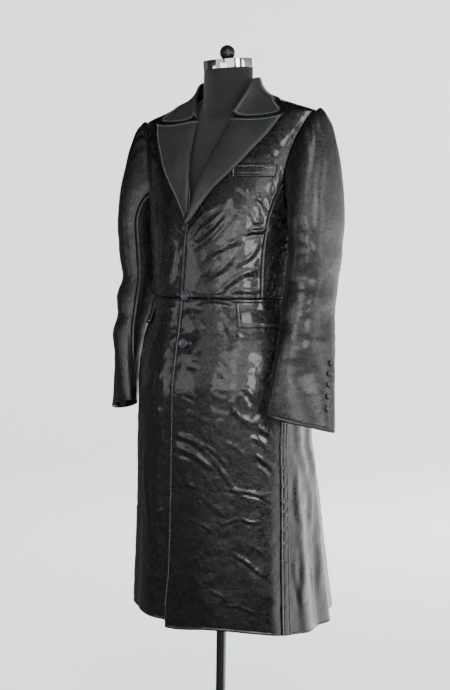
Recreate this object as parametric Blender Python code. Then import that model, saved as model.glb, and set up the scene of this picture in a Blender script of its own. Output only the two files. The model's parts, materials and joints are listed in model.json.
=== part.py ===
"""A long black leather frock coat, buttoned on a limbless dress form with a pole and a round foot."""

import math

import bmesh
import bpy
from mathutils import Vector

# The coat: its front faces -Y and its wearer's left side is +X, with the pole on the Z axis
WALL = 0.002
SEAM = 0.0004
LIE = 0.0004
UNDERLAP = 0.0028
WAIST = 1.0505
SHOULDER = 1.4365
NECKLINE = 1.487
ROUNDNESS = 2.2

# Angles of the panels' edges: how far each stands back from a seam, then the shoulder and centre back
SEAM_ANGLE = 0.08
SHOULDER_FRONT = 89.7
SHOULDER_BACK = 90.3
CENTRE_BACK = 179.93

# Rings of the coat's body: height, half width, depth in front, depth behind, middle
BODY = (
    (0.335, 0.2170, 0.2170, 0.2170, 0.0430),
    (0.410, 0.2130, 0.2066, 0.2066, 0.0346),
    (0.466, 0.2100, 0.2000, 0.2000, 0.0300),
    (0.568, 0.2040, 0.1890, 0.1890, 0.0220),
    (0.686, 0.2000, 0.1740, 0.1740, 0.0090),
    (0.744, 0.1980, 0.1650, 0.1680, 0.0010),
    (0.860, 0.1960, 0.1620, 0.1550, 0.0000),
    (0.925, 0.1940, 0.1530, 0.1400, 0.0000),
    (0.962, 0.1880, 0.1470, 0.1280, 0.0000),
    (0.989, 0.1785, 0.1425, 0.1180, 0.0000),
    (1.045, 0.1630, 0.1360, 0.1000, 0.0000),
    (1.100, 0.1640, 0.1370, 0.1040, 0.0000),
    (1.160, 0.1690, 0.1385, 0.1100, 0.0000),
    (1.200, 0.1740, 0.1370, 0.1140, 0.0000),
    (1.240, 0.1800, 0.1320, 0.1170, 0.0000),
    (1.280, 0.1880, 0.1230, 0.1180, 0.0000),
    (1.315, 0.1970, 0.1110, 0.1180, 0.0000),
    (1.350, 0.2050, 0.0960, 0.1150, 0.0000),
    (1.385, 0.2130, 0.0770, 0.1070, 0.0000),
    (1.410, 0.2190, 0.0620, 0.0980, 0.0000),
    (1.436, 0.2220, 0.0460, 0.0850, 0.0000),
    (1.460, 0.1580, 0.0340, 0.0730, 0.0000),
    (1.490, 0.0760, 0.0260, 0.0620, 0.0000),
)

# Hem: angle from the centre front towards the left side, height
HEM = (
    (-180.0, 0.357), (-90.0, 0.360), (-30.0, 0.366), (-5.0, 0.367), (-4.9, 0.352), (20.0, 0.364),
    (48.0, 0.358), (70.0, 0.347), (90.0, 0.342), (112.0, 0.342), (128.0, 0.350), (180.0, 0.357),
)

# Soft folds that fall from the waist: angle, half spread in degrees, depth at the hem, start height
FOLDS = (
    (14.0, 9.0, 0.0030, 0.90), (36.0, 11.0, -0.0045, 0.98), (58.0, 9.0, 0.0040, 0.86),
    (84.0, 6.0, 0.0050, 0.90), (95.0, 5.5, -0.0060, 0.86), (106.0, 6.0, 0.0060, 0.95),
    (120.0, 7.0, -0.0070, 0.98), (134.0, 7.0, 0.0080, 1.00), (148.0, 6.5, -0.0080, 1.00),
    (161.0, 6.5, 0.0090, 1.02), (172.0, 5.0, -0.0050, 1.02),
    (-17.0, 9.0, 0.0035, 0.92), (-39.0, 10.0, -0.0050, 0.97), (-61.0, 10.0, 0.0030, 0.88),
    (-86.0, 6.0, 0.0045, 0.92), (-98.0, 6.0, -0.0060, 0.88), (-110.0, 6.5, 0.0070, 0.96),
    (-124.0, 7.0, -0.0065, 0.99), (-137.0, 6.5, 0.0085, 1.00), (-150.0, 6.5, -0.0080, 1.01),
    (-163.0, 6.0, 0.0085, 1.02), (-173.0, 5.0, -0.0050, 1.02),
)

# Front edge and roll line of a front, from the hem to the neck: height, distance past the centre front
FRONT_EDGE = (
    (0.335, 0.0240), (0.620, 0.0223), (0.860, 0.0228), (1.050, 0.0203), (1.120, 0.0150),
    (1.188, 0.0086), (1.204, 0.0060), (1.240, -0.0020), (1.278, -0.0083), (1.347, -0.0272),
    (1.420, -0.0420), (1.467, -0.0610), (1.487, -0.0820),
)

# Seams between a front and a side body, and a side body and a back: height, angle
FRONT_SEAM = ((1.045, 60.0), (1.120, 60.0), (1.200, 60.8), (1.250, 63.5), (1.295, 68.4))
BACK_SEAM = ((1.045, 120.0), (1.120, 119.0), (1.200, 116.5), (1.250, 114.0), (1.295, 111.6))
ARMHOLE_MIDDLE = 1.338
ARMHOLE_HALF_HEIGHT = 0.099
ARMHOLE_HALF_ANGLE = 23.5
ARMHOLE_ROUNDNESS = 2.3
ARMHOLE_GAP = 0.0003
ARMHOLE_START = 0.56
FRONT_NOTCH = 115.0
BACK_NOTCH = 245.0

# Lapel on the front: roll x, roll height, edge x, edge height, bow of the row
LAPEL = (
    (-0.0055, 1.206, -0.0010, 1.2035, 0.0),
    (0.0005, 1.229, 0.0095, 1.213, 0.0),
    (0.0065, 1.254, 0.0310, 1.244, 0.0),
    (0.0105, 1.278, 0.0524, 1.274, 0.0),
    (0.0200, 1.312, 0.0770, 1.301, 0.0),
    (0.0295, 1.347, 0.1005, 1.328, 0.0),
    (0.0370, 1.383, 0.1230, 1.359, 0.0),
    (0.0420, 1.410, 0.1450, 1.389, -0.002),
    (0.0465, 1.430, 0.1670, 1.431, -0.008),
)
# Height of the lapel's outer face off the front: share of the width from the roll, lift
LAPEL_ROLL = ((0.0, 0.0026), (0.12, 0.0066), (0.35, 0.0074), (0.7, 0.0062), (1.0, 0.0054))

# Collar from the gorge to the centre back: stand x, y, z, fold x, y, z, edge angle, edge height, bow
COLLAR = (
    (0.0460, -0.0488, 1.4328, 0.0488, -0.0568, 1.4405, 40.2, 1.4345, -0.0060),
    (0.0585, -0.0300, 1.4660, 0.0625, -0.0380, 1.4750, 57.0, 1.4590, -0.0010),
    (0.0770, -0.0040, 1.4890, 0.0665, -0.0025, 1.5165, 88.0, 1.4755, 0.0),
    (0.0730, 0.0290, 1.4885, 0.0585, 0.0240, 1.5235, 112.0, 1.4720, 0.0),
    (0.0460, 0.0520, 1.4885, 0.0395, 0.0445, 1.5270, 145.0, 1.4660, 0.0),
    (0.0000, 0.0600, 1.4885, 0.0000, 0.0585, 1.5285, 180.0, 1.4635, 0.0),
)
FOLD_RADIUS = 0.0042

# Left sleeve below its head: height, centre x, centre y, half length, half width, twist
SLEEVE = (
    (0.800, 0.2436, -0.0751, 0.0725, 0.0270, 50.0),
    (0.889, 0.2419, -0.0606, 0.0690, 0.0310, 35.0),
    (0.962, 0.2370, -0.0440, 0.0690, 0.0350, 20.0),
    (1.032, 0.2280, -0.0225, 0.0690, 0.0400, 8.0),
    (1.090, 0.2240, -0.0050, 0.0710, 0.0430, 2.0),
    (1.151, 0.2285, 0.0010, 0.0750, 0.0450, 0.0),
    (1.205, 0.2300, 0.0000, 0.0800, 0.0455, 0.0),
)
CUFF = 0.800
HEAD = 1.205
SLEEVE_SEAT = 0.0006
CUFF_SEAT = 0.0004
SLEEVE_ROWS = 10
HEAD_FULLNESS = 0.52
HEAD_DROP = 1.4
CUFF_SLANT = 0.017
CUFF_RISE = 0.10
RIGHT_TUCK = Vector((0.0040, 0.0170, 0.0))
GATHER_DEPTH = 0.0040
GATHERS_ROUND = 20
GATHERED = 80.0
FOREARM_SEAM = 125.0
HINDARM_SEAM = 255.0

# Soft folds of a sleeve: height, turn, half rise, half spread in degrees, depth
SLEEVE_FOLDS = (
    (1.165, 350.0, 0.030, 60.0, -0.0030), (1.095, 60.0, 0.024, 55.0, -0.0050),
    (1.050, 35.0, 0.020, 60.0, 0.0040), (1.005, 70.0, 0.022, 60.0, -0.0055),
    (0.960, 20.0, 0.024, 50.0, 0.0035), (0.905, 345.0, 0.030, 55.0, -0.0035),
    (1.060, 255.0, 0.030, 45.0, 0.0030), (0.985, 215.0, 0.030, 60.0, -0.0030),
)

# Pockets: angles and heights on the coat's body
WELT_START = (22.3, 24.9)
WELT_END = (57.5, 59.0)
WELT_HEIGHTS = (1.3005, 1.3272)
FLAP_ANGLES = (38.2, 92.0)
FLAP_TOP = 1.0425
FLAP_BOTTOM = 0.9915
FLAP_FLARE = 0.0035
JET_TOP = 1.0498
JET_BOTTOM = 1.0430
JET_WALL = 0.0015

# Lapped strip down each side seam of the skirt: height, angle of its front edge
STRIP_EDGE = ((0.335, 64.3), (0.425, 65.2), (0.620, 68.0), (0.800, 70.7), (0.990, 75.0))
STRIP_SEAM = 3.8
STRIP_SPREAD = 7.05
STRIP_TOP = 0.970
STRIP_WALL = 0.0016

# Heights of the skirt's rows of points, above the hem
SKIRT_ROWS = (
    WAIST - SEAM / 2, 1.0425, 1.026, 1.009, 0.9915, 0.970, 0.940, 0.895, 0.830, 0.750, 0.660, 0.560, 0.460,
)
HEM_LEVEL = 0.36

# Buttons: the front's x and height, then the cuff's heights
BUTTONS = ((-0.0055, 1.0555), (0.0010, 0.9560))
BUTTON_RADIUS = 0.0105
BUTTON_DEPTH = 0.0042
CUFF_BUTTONS = (0.9236, 0.9029, 0.8822, 0.8615, 0.8408)
CUFF_BUTTON_TURN = 316.4
CUFF_BUTTON_RADIUS = 0.0066
CUFF_BUTTON_DEPTH = 0.0032

# Dress form: rings of height, half width, depth in front, depth behind
FORM = (
    (0.790, 0.0600, 0.0560, 0.0560),
    (0.796, 0.1050, 0.0900, 0.0900),
    (0.812, 0.1350, 0.1080, 0.1080),
    (0.860, 0.1540, 0.1220, 0.1220),
    (0.920, 0.1610, 0.1260, 0.1180),
    (0.985, 0.1560, 0.1230, 0.1040),
    (1.050, 0.1480, 0.1210, 0.0900),
    (1.110, 0.1480, 0.1210, 0.0920),
    (1.170, 0.1530, 0.1225, 0.0985),
    (1.220, 0.1600, 0.1205, 0.1030),
    (1.260, 0.1665, 0.1140, 0.1050),
    (1.300, 0.1740, 0.1040, 0.1050),
    (1.340, 0.1840, 0.0900, 0.1040),
    (1.380, 0.1960, 0.0710, 0.0980),
    (1.410, 0.2060, 0.0560, 0.0900),
    (1.428, 0.2090, 0.0463, 0.0836),
    (1.4385, 0.1920, 0.0398, 0.0783),
    (1.4500, 0.1622, 0.0318, 0.0727),
    (1.4620, 0.1200, 0.0220, 0.0640),
    (1.4740, 0.0800, 0.0180, 0.0570),
    (1.4880, 0.0560, 0.0200, 0.0510),
)
NECK_RADIUS = 0.053
NECK_START = 1.40
NECK_BLEND = 0.05
NECK_PLAIN = 1.503
NECK_TOP = 1.5415
TILT_START = 1.495
NECK_TILT = math.tan(math.radians(7.5))
CAP_RADIUS = 0.0535
CAP_HEIGHT = 0.0195
CAP_EDGE = 0.0008
KNOB_RADIUS = 0.0165
KNOB_CENTRE = 0.0345
POLE_RADIUS = 0.011
SOCKET_RADIUS = 0.0116
FOOT_RADIUS = 0.175
FOOT_THICKNESS = 0.009
FOOT_EDGE = 0.003
BOSS_RADIUS = 0.026
BOSS_HEIGHT = 0.030

MATERIALS = {
    "leather": ((0.020, 0.021, 0.023), 0.32, 0.0),
    "lapel_leather": ((0.034, 0.035, 0.036), 0.45, 0.0),
    "button_black": ((0.012, 0.012, 0.013), 0.25, 0.0),
    "form_cover": ((0.012, 0.013, 0.015), 0.85, 0.0),
    "chrome": ((0.80, 0.81, 0.83), 0.08, 1.0),
    "knob_black": ((0.010, 0.010, 0.010), 0.20, 0.0),
    "pole_steel": ((0.55, 0.56, 0.58), 0.25, 1.0),
    "foot_paint": ((0.030, 0.031, 0.034), 0.40, 0.2),
}


def read(rows, at):
    """The other columns of a table at a place in its first one, along smooth curves with no overshoot."""
    at = min(max(at, rows[0][0]), rows[-1][0])
    here = max(i for i in range(len(rows) - 1) if rows[i][0] <= at)
    span = rows[here + 1][0] - rows[here][0]
    t = (at - rows[here][0]) / span
    values = []
    for column in range(1, len(rows[0])):
        rise = [0.0] * 3
        for k in range(3):
            i = min(max(here - 1 + k, 0), len(rows) - 2)
            rise[k] = (rows[i + 1][column] - rows[i][column]) / (rows[i + 1][0] - rows[i][0])
        slopes = []
        for before, after in ((rise[0], rise[1]), (rise[1], rise[2])):
            same_way = before * after > 0
            slopes.append(2 * before * after / (before + after) if same_way else 0.0)
        low, high = rows[here][column], rows[here + 1][column]
        value = (2 * t**3 - 3 * t**2 + 1) * low + (3 * t**2 - 2 * t**3) * high
        value += span * ((t**3 - 2 * t**2 + t) * slopes[0] + (t**3 - t**2) * slopes[1])
        values.append(value)
    return values


def mix(low, high, share):
    return low + (high - low) * share


def ease(share):
    share = min(max(share, 0.0), 1.0)
    return share * share * (3 - 2 * share)


def bent(value, roundness):
    """A sine or cosine pushed outwards, so that a ring is fuller than an ellipse."""
    return math.copysign(abs(value) ** (2 / roundness), value)


def fold_at(angle, height):
    """How far the folds stand out of the skirt at a place."""
    total = 0.0
    for centre, spread, depth, start in FOLDS:
        away = abs((angle - centre + 180) % 360 - 180) / spread
        if away < 1.6 and height < start:
            grown = ease((start - height) / (start - 0.36))
            total += depth * grown * math.exp(-(away**2) * 1.6)
    return total


def body_ring(angle, height):
    """A point of the coat's outer face with no lift: the angle runs from the centre front to the left."""
    half, front, back, middle = read(BODY, height)
    side, ahead = math.sin(math.radians(angle)), math.cos(math.radians(angle))
    depth = front if ahead > 0 else back
    out = fold_at(angle, height)
    across = half * bent(side, ROUNDNESS) + out * side
    return Vector((across, middle - depth * bent(ahead, ROUNDNESS) - out * ahead, height))


def body(angle, height, lift=0.0):
    """A point of the coat's body, lifted off the outer face along its normal."""
    point = body_ring(angle, height)
    if lift == 0.0:
        return point
    along = body_ring(angle + 0.8, height) - body_ring(angle - 0.8, height)
    low, high = max(height - 0.003, 0.336), min(height + 0.003, 1.4895)
    up = body_ring(angle, high) - body_ring(angle, low)
    return point + along.cross(up).normalized() * lift


def angle_of(x, height):
    """The angle on the front at which the coat's body reaches this x."""
    share = min(abs(x) / read(BODY, height)[0], 1.0)
    return math.copysign(math.degrees(math.asin(share ** (ROUNDNESS / 2))), x)


def armhole(turn, lift=0.0):
    """Angle and height on the armhole's line: the turn runs from the shoulder tip to the front."""
    side = bent(math.sin(math.radians(turn)), ARMHOLE_ROUNDNESS)
    up = bent(math.cos(math.radians(turn)), ARMHOLE_ROUNDNESS)
    half_angle = ARMHOLE_HALF_ANGLE + math.degrees(lift / 0.2)
    return 90 - half_angle * side, ARMHOLE_MIDDLE + (ARMHOLE_HALF_HEIGHT + lift) * up


def patch(left, right, bottom, top, columns, rows):
    """Rows of angles and heights between four edges, each a function of its share from 0 to 1."""
    grid = []
    for j in range(rows + 1):
        v = j / rows
        line = []
        for i in range(columns + 1):
            u = i / columns
            spot = []
            for axis in (0, 1):
                across = mix(left(v)[axis], right(v)[axis], u)
                along = mix(bottom(u)[axis], top(u)[axis], v)
                low = mix(bottom(0)[axis], bottom(1)[axis], u)
                high = mix(top(0)[axis], top(1)[axis], u)
                spot.append(across + along - mix(low, high, v))
            line.append(spot)
        grid.append(line)
    return grid


def material(name):
    found = bpy.data.materials.get(name)
    if found:
        return found
    colour, roughness, metallic = MATERIALS[name]
    made = bpy.data.materials.new(name)
    made.use_nodes = True
    shader = made.node_tree.nodes["Principled BSDF"]
    shader.inputs["Base Color"].default_value = (*colour, 1.0)
    shader.inputs["Roughness"].default_value = roughness
    shader.inputs["Metallic"].default_value = metallic
    made.diffuse_color = (*colour, 1.0)
    return made


def finish(name, mesh, material_name):
    """Makes a closed bmesh into a named object with its faces pointing out."""
    bmesh.ops.recalc_face_normals(mesh, faces=mesh.faces[:])
    data = bpy.data.meshes.new(name)
    mesh.to_mesh(data)
    mesh.free()
    data.shade_smooth()
    data.set_sharp_from_angle(angle=math.radians(40))
    made = bpy.data.objects.new(name, data)
    made.data.materials.append(material(material_name))
    bpy.context.scene.collection.objects.link(made)
    return made


def wall(name, outer, inner, side=1, material_name="leather"):
    """A sheet of leather as a solid: rows of outer points, the same rows of inner ones, and its rim."""
    mesh = bmesh.new()
    faces = []
    for rows in (outer, inner):
        made = []
        for row in rows:
            made.append([mesh.verts.new((point[0] * side, point[1], point[2])) for point in row])
        faces.append(made)
    last_row, last = len(outer) - 1, len(outer[0]) - 1
    for j in range(last_row):
        for i in range(last):
            for made in faces:
                mesh.faces.new((made[j][i], made[j][i + 1], made[j + 1][i + 1], made[j + 1][i]))
    rim = [(j, 0) for j in range(last_row)] + [(last_row, i) for i in range(last)]
    rim += [(j, last) for j in range(last_row, 0, -1)] + [(0, i) for i in range(last, 0, -1)]
    out, back = faces
    for place, (j, i) in enumerate(rim):
        m, n = rim[(place + 1) % len(rim)]
        mesh.faces.new((out[j][i], back[j][i], back[m][n], out[m][n]))
    return finish(name, mesh, material_name)


def sheet_on_body(name, grid, lift_at, side=1, thickness=WALL, material_name="leather"):
    """A wall on the coat's body: lift_at gives the outer face's lift from shares across and up."""
    outer, inner = [], []
    for j, line in enumerate(grid):
        outer.append([])
        inner.append([])
        for i, (angle, height) in enumerate(line):
            lift = lift_at(i / (len(line) - 1), j / (len(grid) - 1))
            lift += underlap(angle * side, height, side)
            outer[-1].append(body(angle * side, height, lift))
            inner[-1].append(body(angle * side, height, lift - thickness))
    return wall(name, outer, inner, 1, material_name)


def turned(name, profile, sides, material_name, place=None):
    """A solid of revolution about Z: radius and height down the outside, closed at both ends."""
    mesh = bmesh.new()
    rings = []
    for radius, height in profile:
        if radius == 0.0:
            rings.append([mesh.verts.new((0.0, 0.0, height))])
            continue
        ring = []
        for k in range(sides):
            turn = 2 * math.pi * k / sides
            ring.append(mesh.verts.new((radius * math.cos(turn), radius * math.sin(turn), height)))
        rings.append(ring)
    for upper, lower in zip(rings, rings[1:]):
        for k in range(sides):
            corners = [upper[k % len(upper)], lower[k % len(lower)]]
            corners += [lower[(k + 1) % len(lower)], upper[(k + 1) % len(upper)]]
            mesh.faces.new(list(dict.fromkeys(corners)))
    for ring in (rings[0], rings[-1]):
        if len(ring) > 1:
            mesh.faces.new(ring)
    if place is not None:
        mesh.transform(place)
    return finish(name, mesh, material_name)


def flat(lift):
    return lambda u, v: lift


def underlap(angle, height, side):
    """The right front lies under the left one near the centre, and this is its lift there."""
    if side > 0 or abs(angle) > 90:
        return 0.0
    x = body_ring(angle, height)[0]
    return -UNDERLAP * ease((x + 0.060) / 0.036)


def front_edge(height):
    """Angle of a front's free edge or roll line on its own side of the coat."""
    return -angle_of(read(FRONT_EDGE, height)[0], height)


def bodice_edge(rise):
    """The front's inner edge from the waist seam to the side of the neck."""
    height = mix(WAIST + SEAM / 2, NECKLINE, rise)
    return min(front_edge(height), 89.6), height


def bodice_side(seam, notch, gap):
    """The edge towards the arm: up the seam, then round the armhole to the shoulder tip."""

    def edge(v):
        if v < ARMHOLE_START:
            height = mix(WAIST + SEAM / 2, armhole(notch)[1], v / ARMHOLE_START)
            return read(seam, height)[0] + gap, height
        goal = 0.0 if notch < 180 else 360.0
        turn = mix(notch, goal, (v - ARMHOLE_START) / (1 - ARMHOLE_START))
        angle, height = armhole(turn, ARMHOLE_GAP)
        return angle, min(height, SHOULDER)

    return edge


def front_grid(columns, rows):
    """A front: its free edge and roll line, the side-front seam, the armhole and the shoulder."""
    arm_edge = bodice_side(FRONT_SEAM, FRONT_NOTCH, -SEAM_ANGLE)
    low, high, tip = bodice_edge(0)[0], arm_edge(0)[0], arm_edge(1)[1]
    grid = patch(
        bodice_edge, arm_edge,
        lambda u: (mix(low, high, u), WAIST + SEAM / 2),
        lambda u: (SHOULDER_FRONT, mix(NECKLINE, tip, u)),
        columns, rows,
    )
    grid[-1] = [[SHOULDER_FRONT, spot[1]] for spot in grid[-1]]
    return grid


def back_grid(columns, rows):
    """A back: the centre back seam, the neck, the shoulder, the armhole and the side seam."""
    arm_edge = bodice_side(BACK_SEAM, BACK_NOTCH, SEAM_ANGLE)
    floor, tip, neck_share = WAIST + SEAM / 2, arm_edge(1)[1], 0.45

    def top(u):
        if u < neck_share:
            return mix(CENTRE_BACK, 96.0, u / neck_share), NECKLINE
        return SHOULDER_BACK, mix(NECKLINE, tip, (u - neck_share) / (1 - neck_share))

    return patch(
        lambda v: (CENTRE_BACK, mix(floor, NECKLINE, v)), arm_edge,
        lambda u: (mix(CENTRE_BACK, arm_edge(0)[0], u), floor), top,
        columns, rows,
    )


def side_grid(columns, rows):
    """A side body: between the two seams, up to the armhole's underside."""
    floor = WAIST + SEAM / 2
    starts = (read(FRONT_SEAM, floor)[0] + SEAM_ANGLE, read(BACK_SEAM, floor)[0] - SEAM_ANGLE)
    ends = (armhole(FRONT_NOTCH, ARMHOLE_GAP)[1], armhole(BACK_NOTCH, ARMHOLE_GAP)[1])

    def front(v):
        height = mix(floor, ends[0], v)
        return read(FRONT_SEAM, height)[0] + SEAM_ANGLE, height

    def behind(v):
        height = mix(floor, ends[1], v)
        return read(BACK_SEAM, height)[0] - SEAM_ANGLE, height

    return patch(
        front, behind,
        lambda u: (mix(*starts, u), floor),
        lambda u: armhole(mix(FRONT_NOTCH, BACK_NOTCH, u), ARMHOLE_GAP),
        columns, rows,
    )


def make_bodice():
    """Fronts, side bodies and backs, which meet at the shoulder, side and centre back seams."""
    for side, word in ((1, "left"), (-1, "right")):
        sheet_on_body("front_" + word, front_grid(10, 14), flat(0.0), side)
        sheet_on_body("back_" + word, back_grid(11, 12), flat(0.0), side)
        sheet_on_body("side_" + word, side_grid(6, 8), flat(0.0), side)


def strip_front(height):
    return read(STRIP_EDGE, height)[0]


def strip_back(height):
    return strip_front(height) + STRIP_SPREAD


def skirt_seam(height):
    return strip_front(height) + STRIP_SEAM


def ahead_of_seam(height):
    return skirt_seam(height) - SEAM_ANGLE


def behind_seam(height):
    return skirt_seam(height) + SEAM_ANGLE


def centre_back(height):
    return CENTRE_BACK


def skirt_rows(edges, counts, side, heights):
    """Rows down to the hem: edges are functions of height, with a count of columns between each two."""
    grid = []
    for j in range(len(heights) + 1):
        line = []
        for first, last, count in zip(edges, edges[1:], counts):
            for i in range(count + 1):
                guess = mix(first(HEM_LEVEL), last(HEM_LEVEL), i / count)
                height = heights[j] if j < len(heights) else read(HEM, guess * side)[0]
                if i or not line:
                    line.append([mix(first(height), last(height), i / count), height])
        grid.append(line)
    return grid


def make_skirt():
    """Skirt fronts and backs, and the lapped strip over each side seam."""
    for side, word in ((1, "left"), (-1, "right")):
        grid = skirt_rows((front_edge, strip_front, ahead_of_seam), (10, 1), side, SKIRT_ROWS)
        sheet_on_body("skirt_front_" + word, grid, flat(0.0), side)
        grid = skirt_rows((behind_seam, strip_back, centre_back), (1, 18), side, SKIRT_ROWS)
        sheet_on_body("skirt_back_" + word, grid, flat(0.0), side)
        heights = [height for height in SKIRT_ROWS if height <= STRIP_TOP]
        grid = skirt_rows((strip_front, skirt_seam, strip_back), (1, 1), side, heights)
        sheet_on_body("side_strip_" + word, grid, flat(LIE + STRIP_WALL), side, STRIP_WALL)


def lapel_spot(u, v):
    """Angle and height on a lapel: u runs from the roll to the edge, v from the break to the gorge."""
    table = [(k / (len(LAPEL) - 1), *row) for k, row in enumerate(LAPEL)]
    roll_x, roll_height, edge_x, edge_height, bow = read(table, v)
    height = mix(roll_height, edge_height, u) + bow * 4 * u * (1 - u)
    return [angle_of(mix(roll_x, edge_x, u), height), height]


def make_lapels():
    """The left lapel covers the lower end of the right one, which starts above it."""
    for side, word, start in ((1, "left", 0.0), (-1, "right", 0.135)):
        grid = []
        for j in range(15):
            grid.append([lapel_spot(i / 5, mix(start, 1.0, j / 14)) for i in range(6)])
        sheet_on_body(
            "lapel_" + word, grid, lambda u, v: read(LAPEL_ROLL, u)[0], side, WALL, "lapel_leather"
        )


def collar_section(place):
    """Points of the collar's outer face at a place from the gorge, 0, to the centre back, 1."""
    table = [(k / (len(COLLAR) - 1), *row) for k, row in enumerate(COLLAR)]
    sx, sy, sz, fx, fy, fz, edge_angle, edge_height, bow = read(table, place)
    stand, fold = Vector((sx, sy, sz)), Vector((fx, fy, fz))
    edge = body(edge_angle, edge_height, WALL + SEAM)
    outward = Vector((edge[0] - fold[0], edge[1] - fold[1], 0.0)).normalized()
    rise = (fold - stand).normalized()
    centre = fold + outward * FOLD_RADIUS - rise * FOLD_RADIUS
    points = [stand, stand.lerp(fold, 0.5)]
    for step in range(4):
        turn = math.pi * step / 4
        points.append(centre - outward * FOLD_RADIUS * math.cos(turn) + rise * FOLD_RADIUS * math.sin(turn))
    start = centre + outward * FOLD_RADIUS
    pull = Vector((mix(start[0], edge[0], 0.22), mix(start[1], edge[1], 0.22), mix(start[2], edge[2], 0.72)))
    for step in range(6):
        t = step / 5
        point = start * (1 - t) ** 2 + pull * 2 * t * (1 - t) + edge * t * t
        point[2] += bow * 4 * t * (1 - t)
        points.append(point)
    return points


def thicken(rows, thickness):
    """The inner points of a sheet whose rows lie in order, a wall's depth behind the outer ones."""
    inner = []
    for j, row in enumerate(rows):
        line = []
        for i, point in enumerate(row):
            along = row[min(i + 1, len(row) - 1)] - row[max(i - 1, 0)]
            up = rows[min(j + 1, len(rows) - 1)][i] - rows[max(j - 1, 0)][i]
            line.append(point + along.cross(up).normalized() * thickness)
        inner.append(line)
    return inner


def make_collar():
    rows = []
    for k in range(-10, 11):
        section = collar_section(1 - abs(k) / 10)
        rows.append([Vector((point[0] * (-1 if k < 0 else 1), point[1], point[2])) for point in section])
    wall("collar", rows, thicken(rows, -WALL), 1, "lapel_leather")


def sleeve_ring(turn, height, side, lift):
    """A point of the sleeve below its head: the turn runs from the outer side to the front."""
    x, y, long, wide, twist = read(SLEEVE, height)
    twist = math.radians(twist)
    out = Vector((math.cos(twist), -math.sin(twist), 0.0))
    ahead = Vector((-math.sin(twist), -math.cos(twist), 0.0))
    cosine = bent(math.cos(math.radians(turn)), ROUNDNESS)
    sine = bent(math.sin(math.radians(turn)), ROUNDNESS)
    slant = CUFF_SLANT * ease((CUFF + CUFF_RISE - height) / CUFF_RISE) * math.sin(math.radians(turn))
    for middle, centre, rise, spread, depth in SLEEVE_FOLDS:
        away = ((height - middle) / rise) ** 2 + (((turn - centre + 180) % 360 - 180) / spread) ** 2
        if away < 4:
            lift += depth * math.exp(-away * 1.4)
    point = Vector((x, y, height + slant)) + out * (wide + lift) * cosine + ahead * (long + lift) * sine
    if side < 0:
        tuck = ease((1.10 - height) / (1.10 - CUFF))
        point += Vector((-RIGHT_TUCK[0], RIGHT_TUCK[1], 0.0)) * tuck
    return point


def sleeve_head(turn, share, side, lift):
    """A point of the sleeve head, between the armhole and the top of the plain sleeve."""
    angle, height = armhole(turn, lift)
    start = body(angle, height, SLEEVE_SEAT)
    normal = (body(angle, height, 0.01) - body(angle, height)).normalized()
    end = sleeve_ring(turn, HEAD, side, lift)
    reach = (body(*armhole(turn)) - sleeve_ring(turn, HEAD, side, 0.0)).length
    t = share
    point = start * (2 * t**3 - 3 * t**2 + 1) + end * (3 * t**2 - 2 * t**3)
    point += normal * reach * HEAD_FULLNESS * (t**3 - 2 * t**2 + t)
    point += Vector((0.0, 0.0, -1.0)) * reach * HEAD_DROP * (t**3 - t**2)
    wrapped = (turn + 180) % 360 - 180
    if abs(wrapped) < GATHERED:
        middle = body(90, ARMHOLE_MIDDLE).lerp(Vector((SLEEVE[-1][1], SLEEVE[-1][2], HEAD)), t)
        out = (point - middle).normalized()
        near = ease((GATHERED - abs(wrapped)) / 30) * ease(t / 0.10) * (1 - ease((t - 0.12) / 0.40))
        rope = 0.5 + 0.5 * math.cos(math.radians(wrapped * GATHERS_ROUND))
        point += out * GATHER_DEPTH * near * (rope + 0.4)
    return point


def sleeve_point(turn, place, side, lift):
    """A point of the sleeve: place 0 is the armhole, 1 the head's end and 2 the cuff."""
    if place <= 1.0:
        return sleeve_head(turn, place, side, lift)
    return sleeve_ring(turn, mix(HEAD, CUFF, place - 1.0), side, lift)


def sleeve_wall(turn, height, side):
    """A point of the sleeve's outer face, which runs straight from one row of its points to the next."""
    rise = (HEAD - CUFF) / SLEEVE_ROWS
    lower = CUFF + rise * math.floor((height - CUFF) / rise)
    low = sleeve_ring(turn, lower, side, 0.0)
    high = sleeve_ring(turn, lower + rise, side, 0.0)
    return low.lerp(high, (height - lower) / rise)


def make_sleeves():
    """Two pieces a sleeve: the top sleeve with its gathered head, and the under sleeve."""
    places = [0.0, 0.06, 0.14, 0.28, 0.5, 0.75]
    places += [1.0 + step / SLEEVE_ROWS for step in range(SLEEVE_ROWS + 1)]
    gap = 0.2
    fine = [-GATHERED + 2 * GATHERED * step / 22 for step in range(23)]
    top_turns = [-(360 - HINDARM_SEAM) + gap, -92.5] + fine + [95.0, 110.0, FOREARM_SEAM - gap]
    under_turns = []
    for step in range(9):
        under_turns.append(mix(FOREARM_SEAM + gap, HINDARM_SEAM - gap, step / 8))
    for side, word in ((1, "left"), (-1, "right")):
        for name, turns in (("top_sleeve_", top_turns), ("under_sleeve_", under_turns)):
            outer = [[sleeve_point(turn, p, side, 0.0) for turn in turns] for p in places]
            inner = [[sleeve_point(turn, p, side, -WALL) for turn in turns] for p in places]
            wall(name + word, outer, inner, side)


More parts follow.
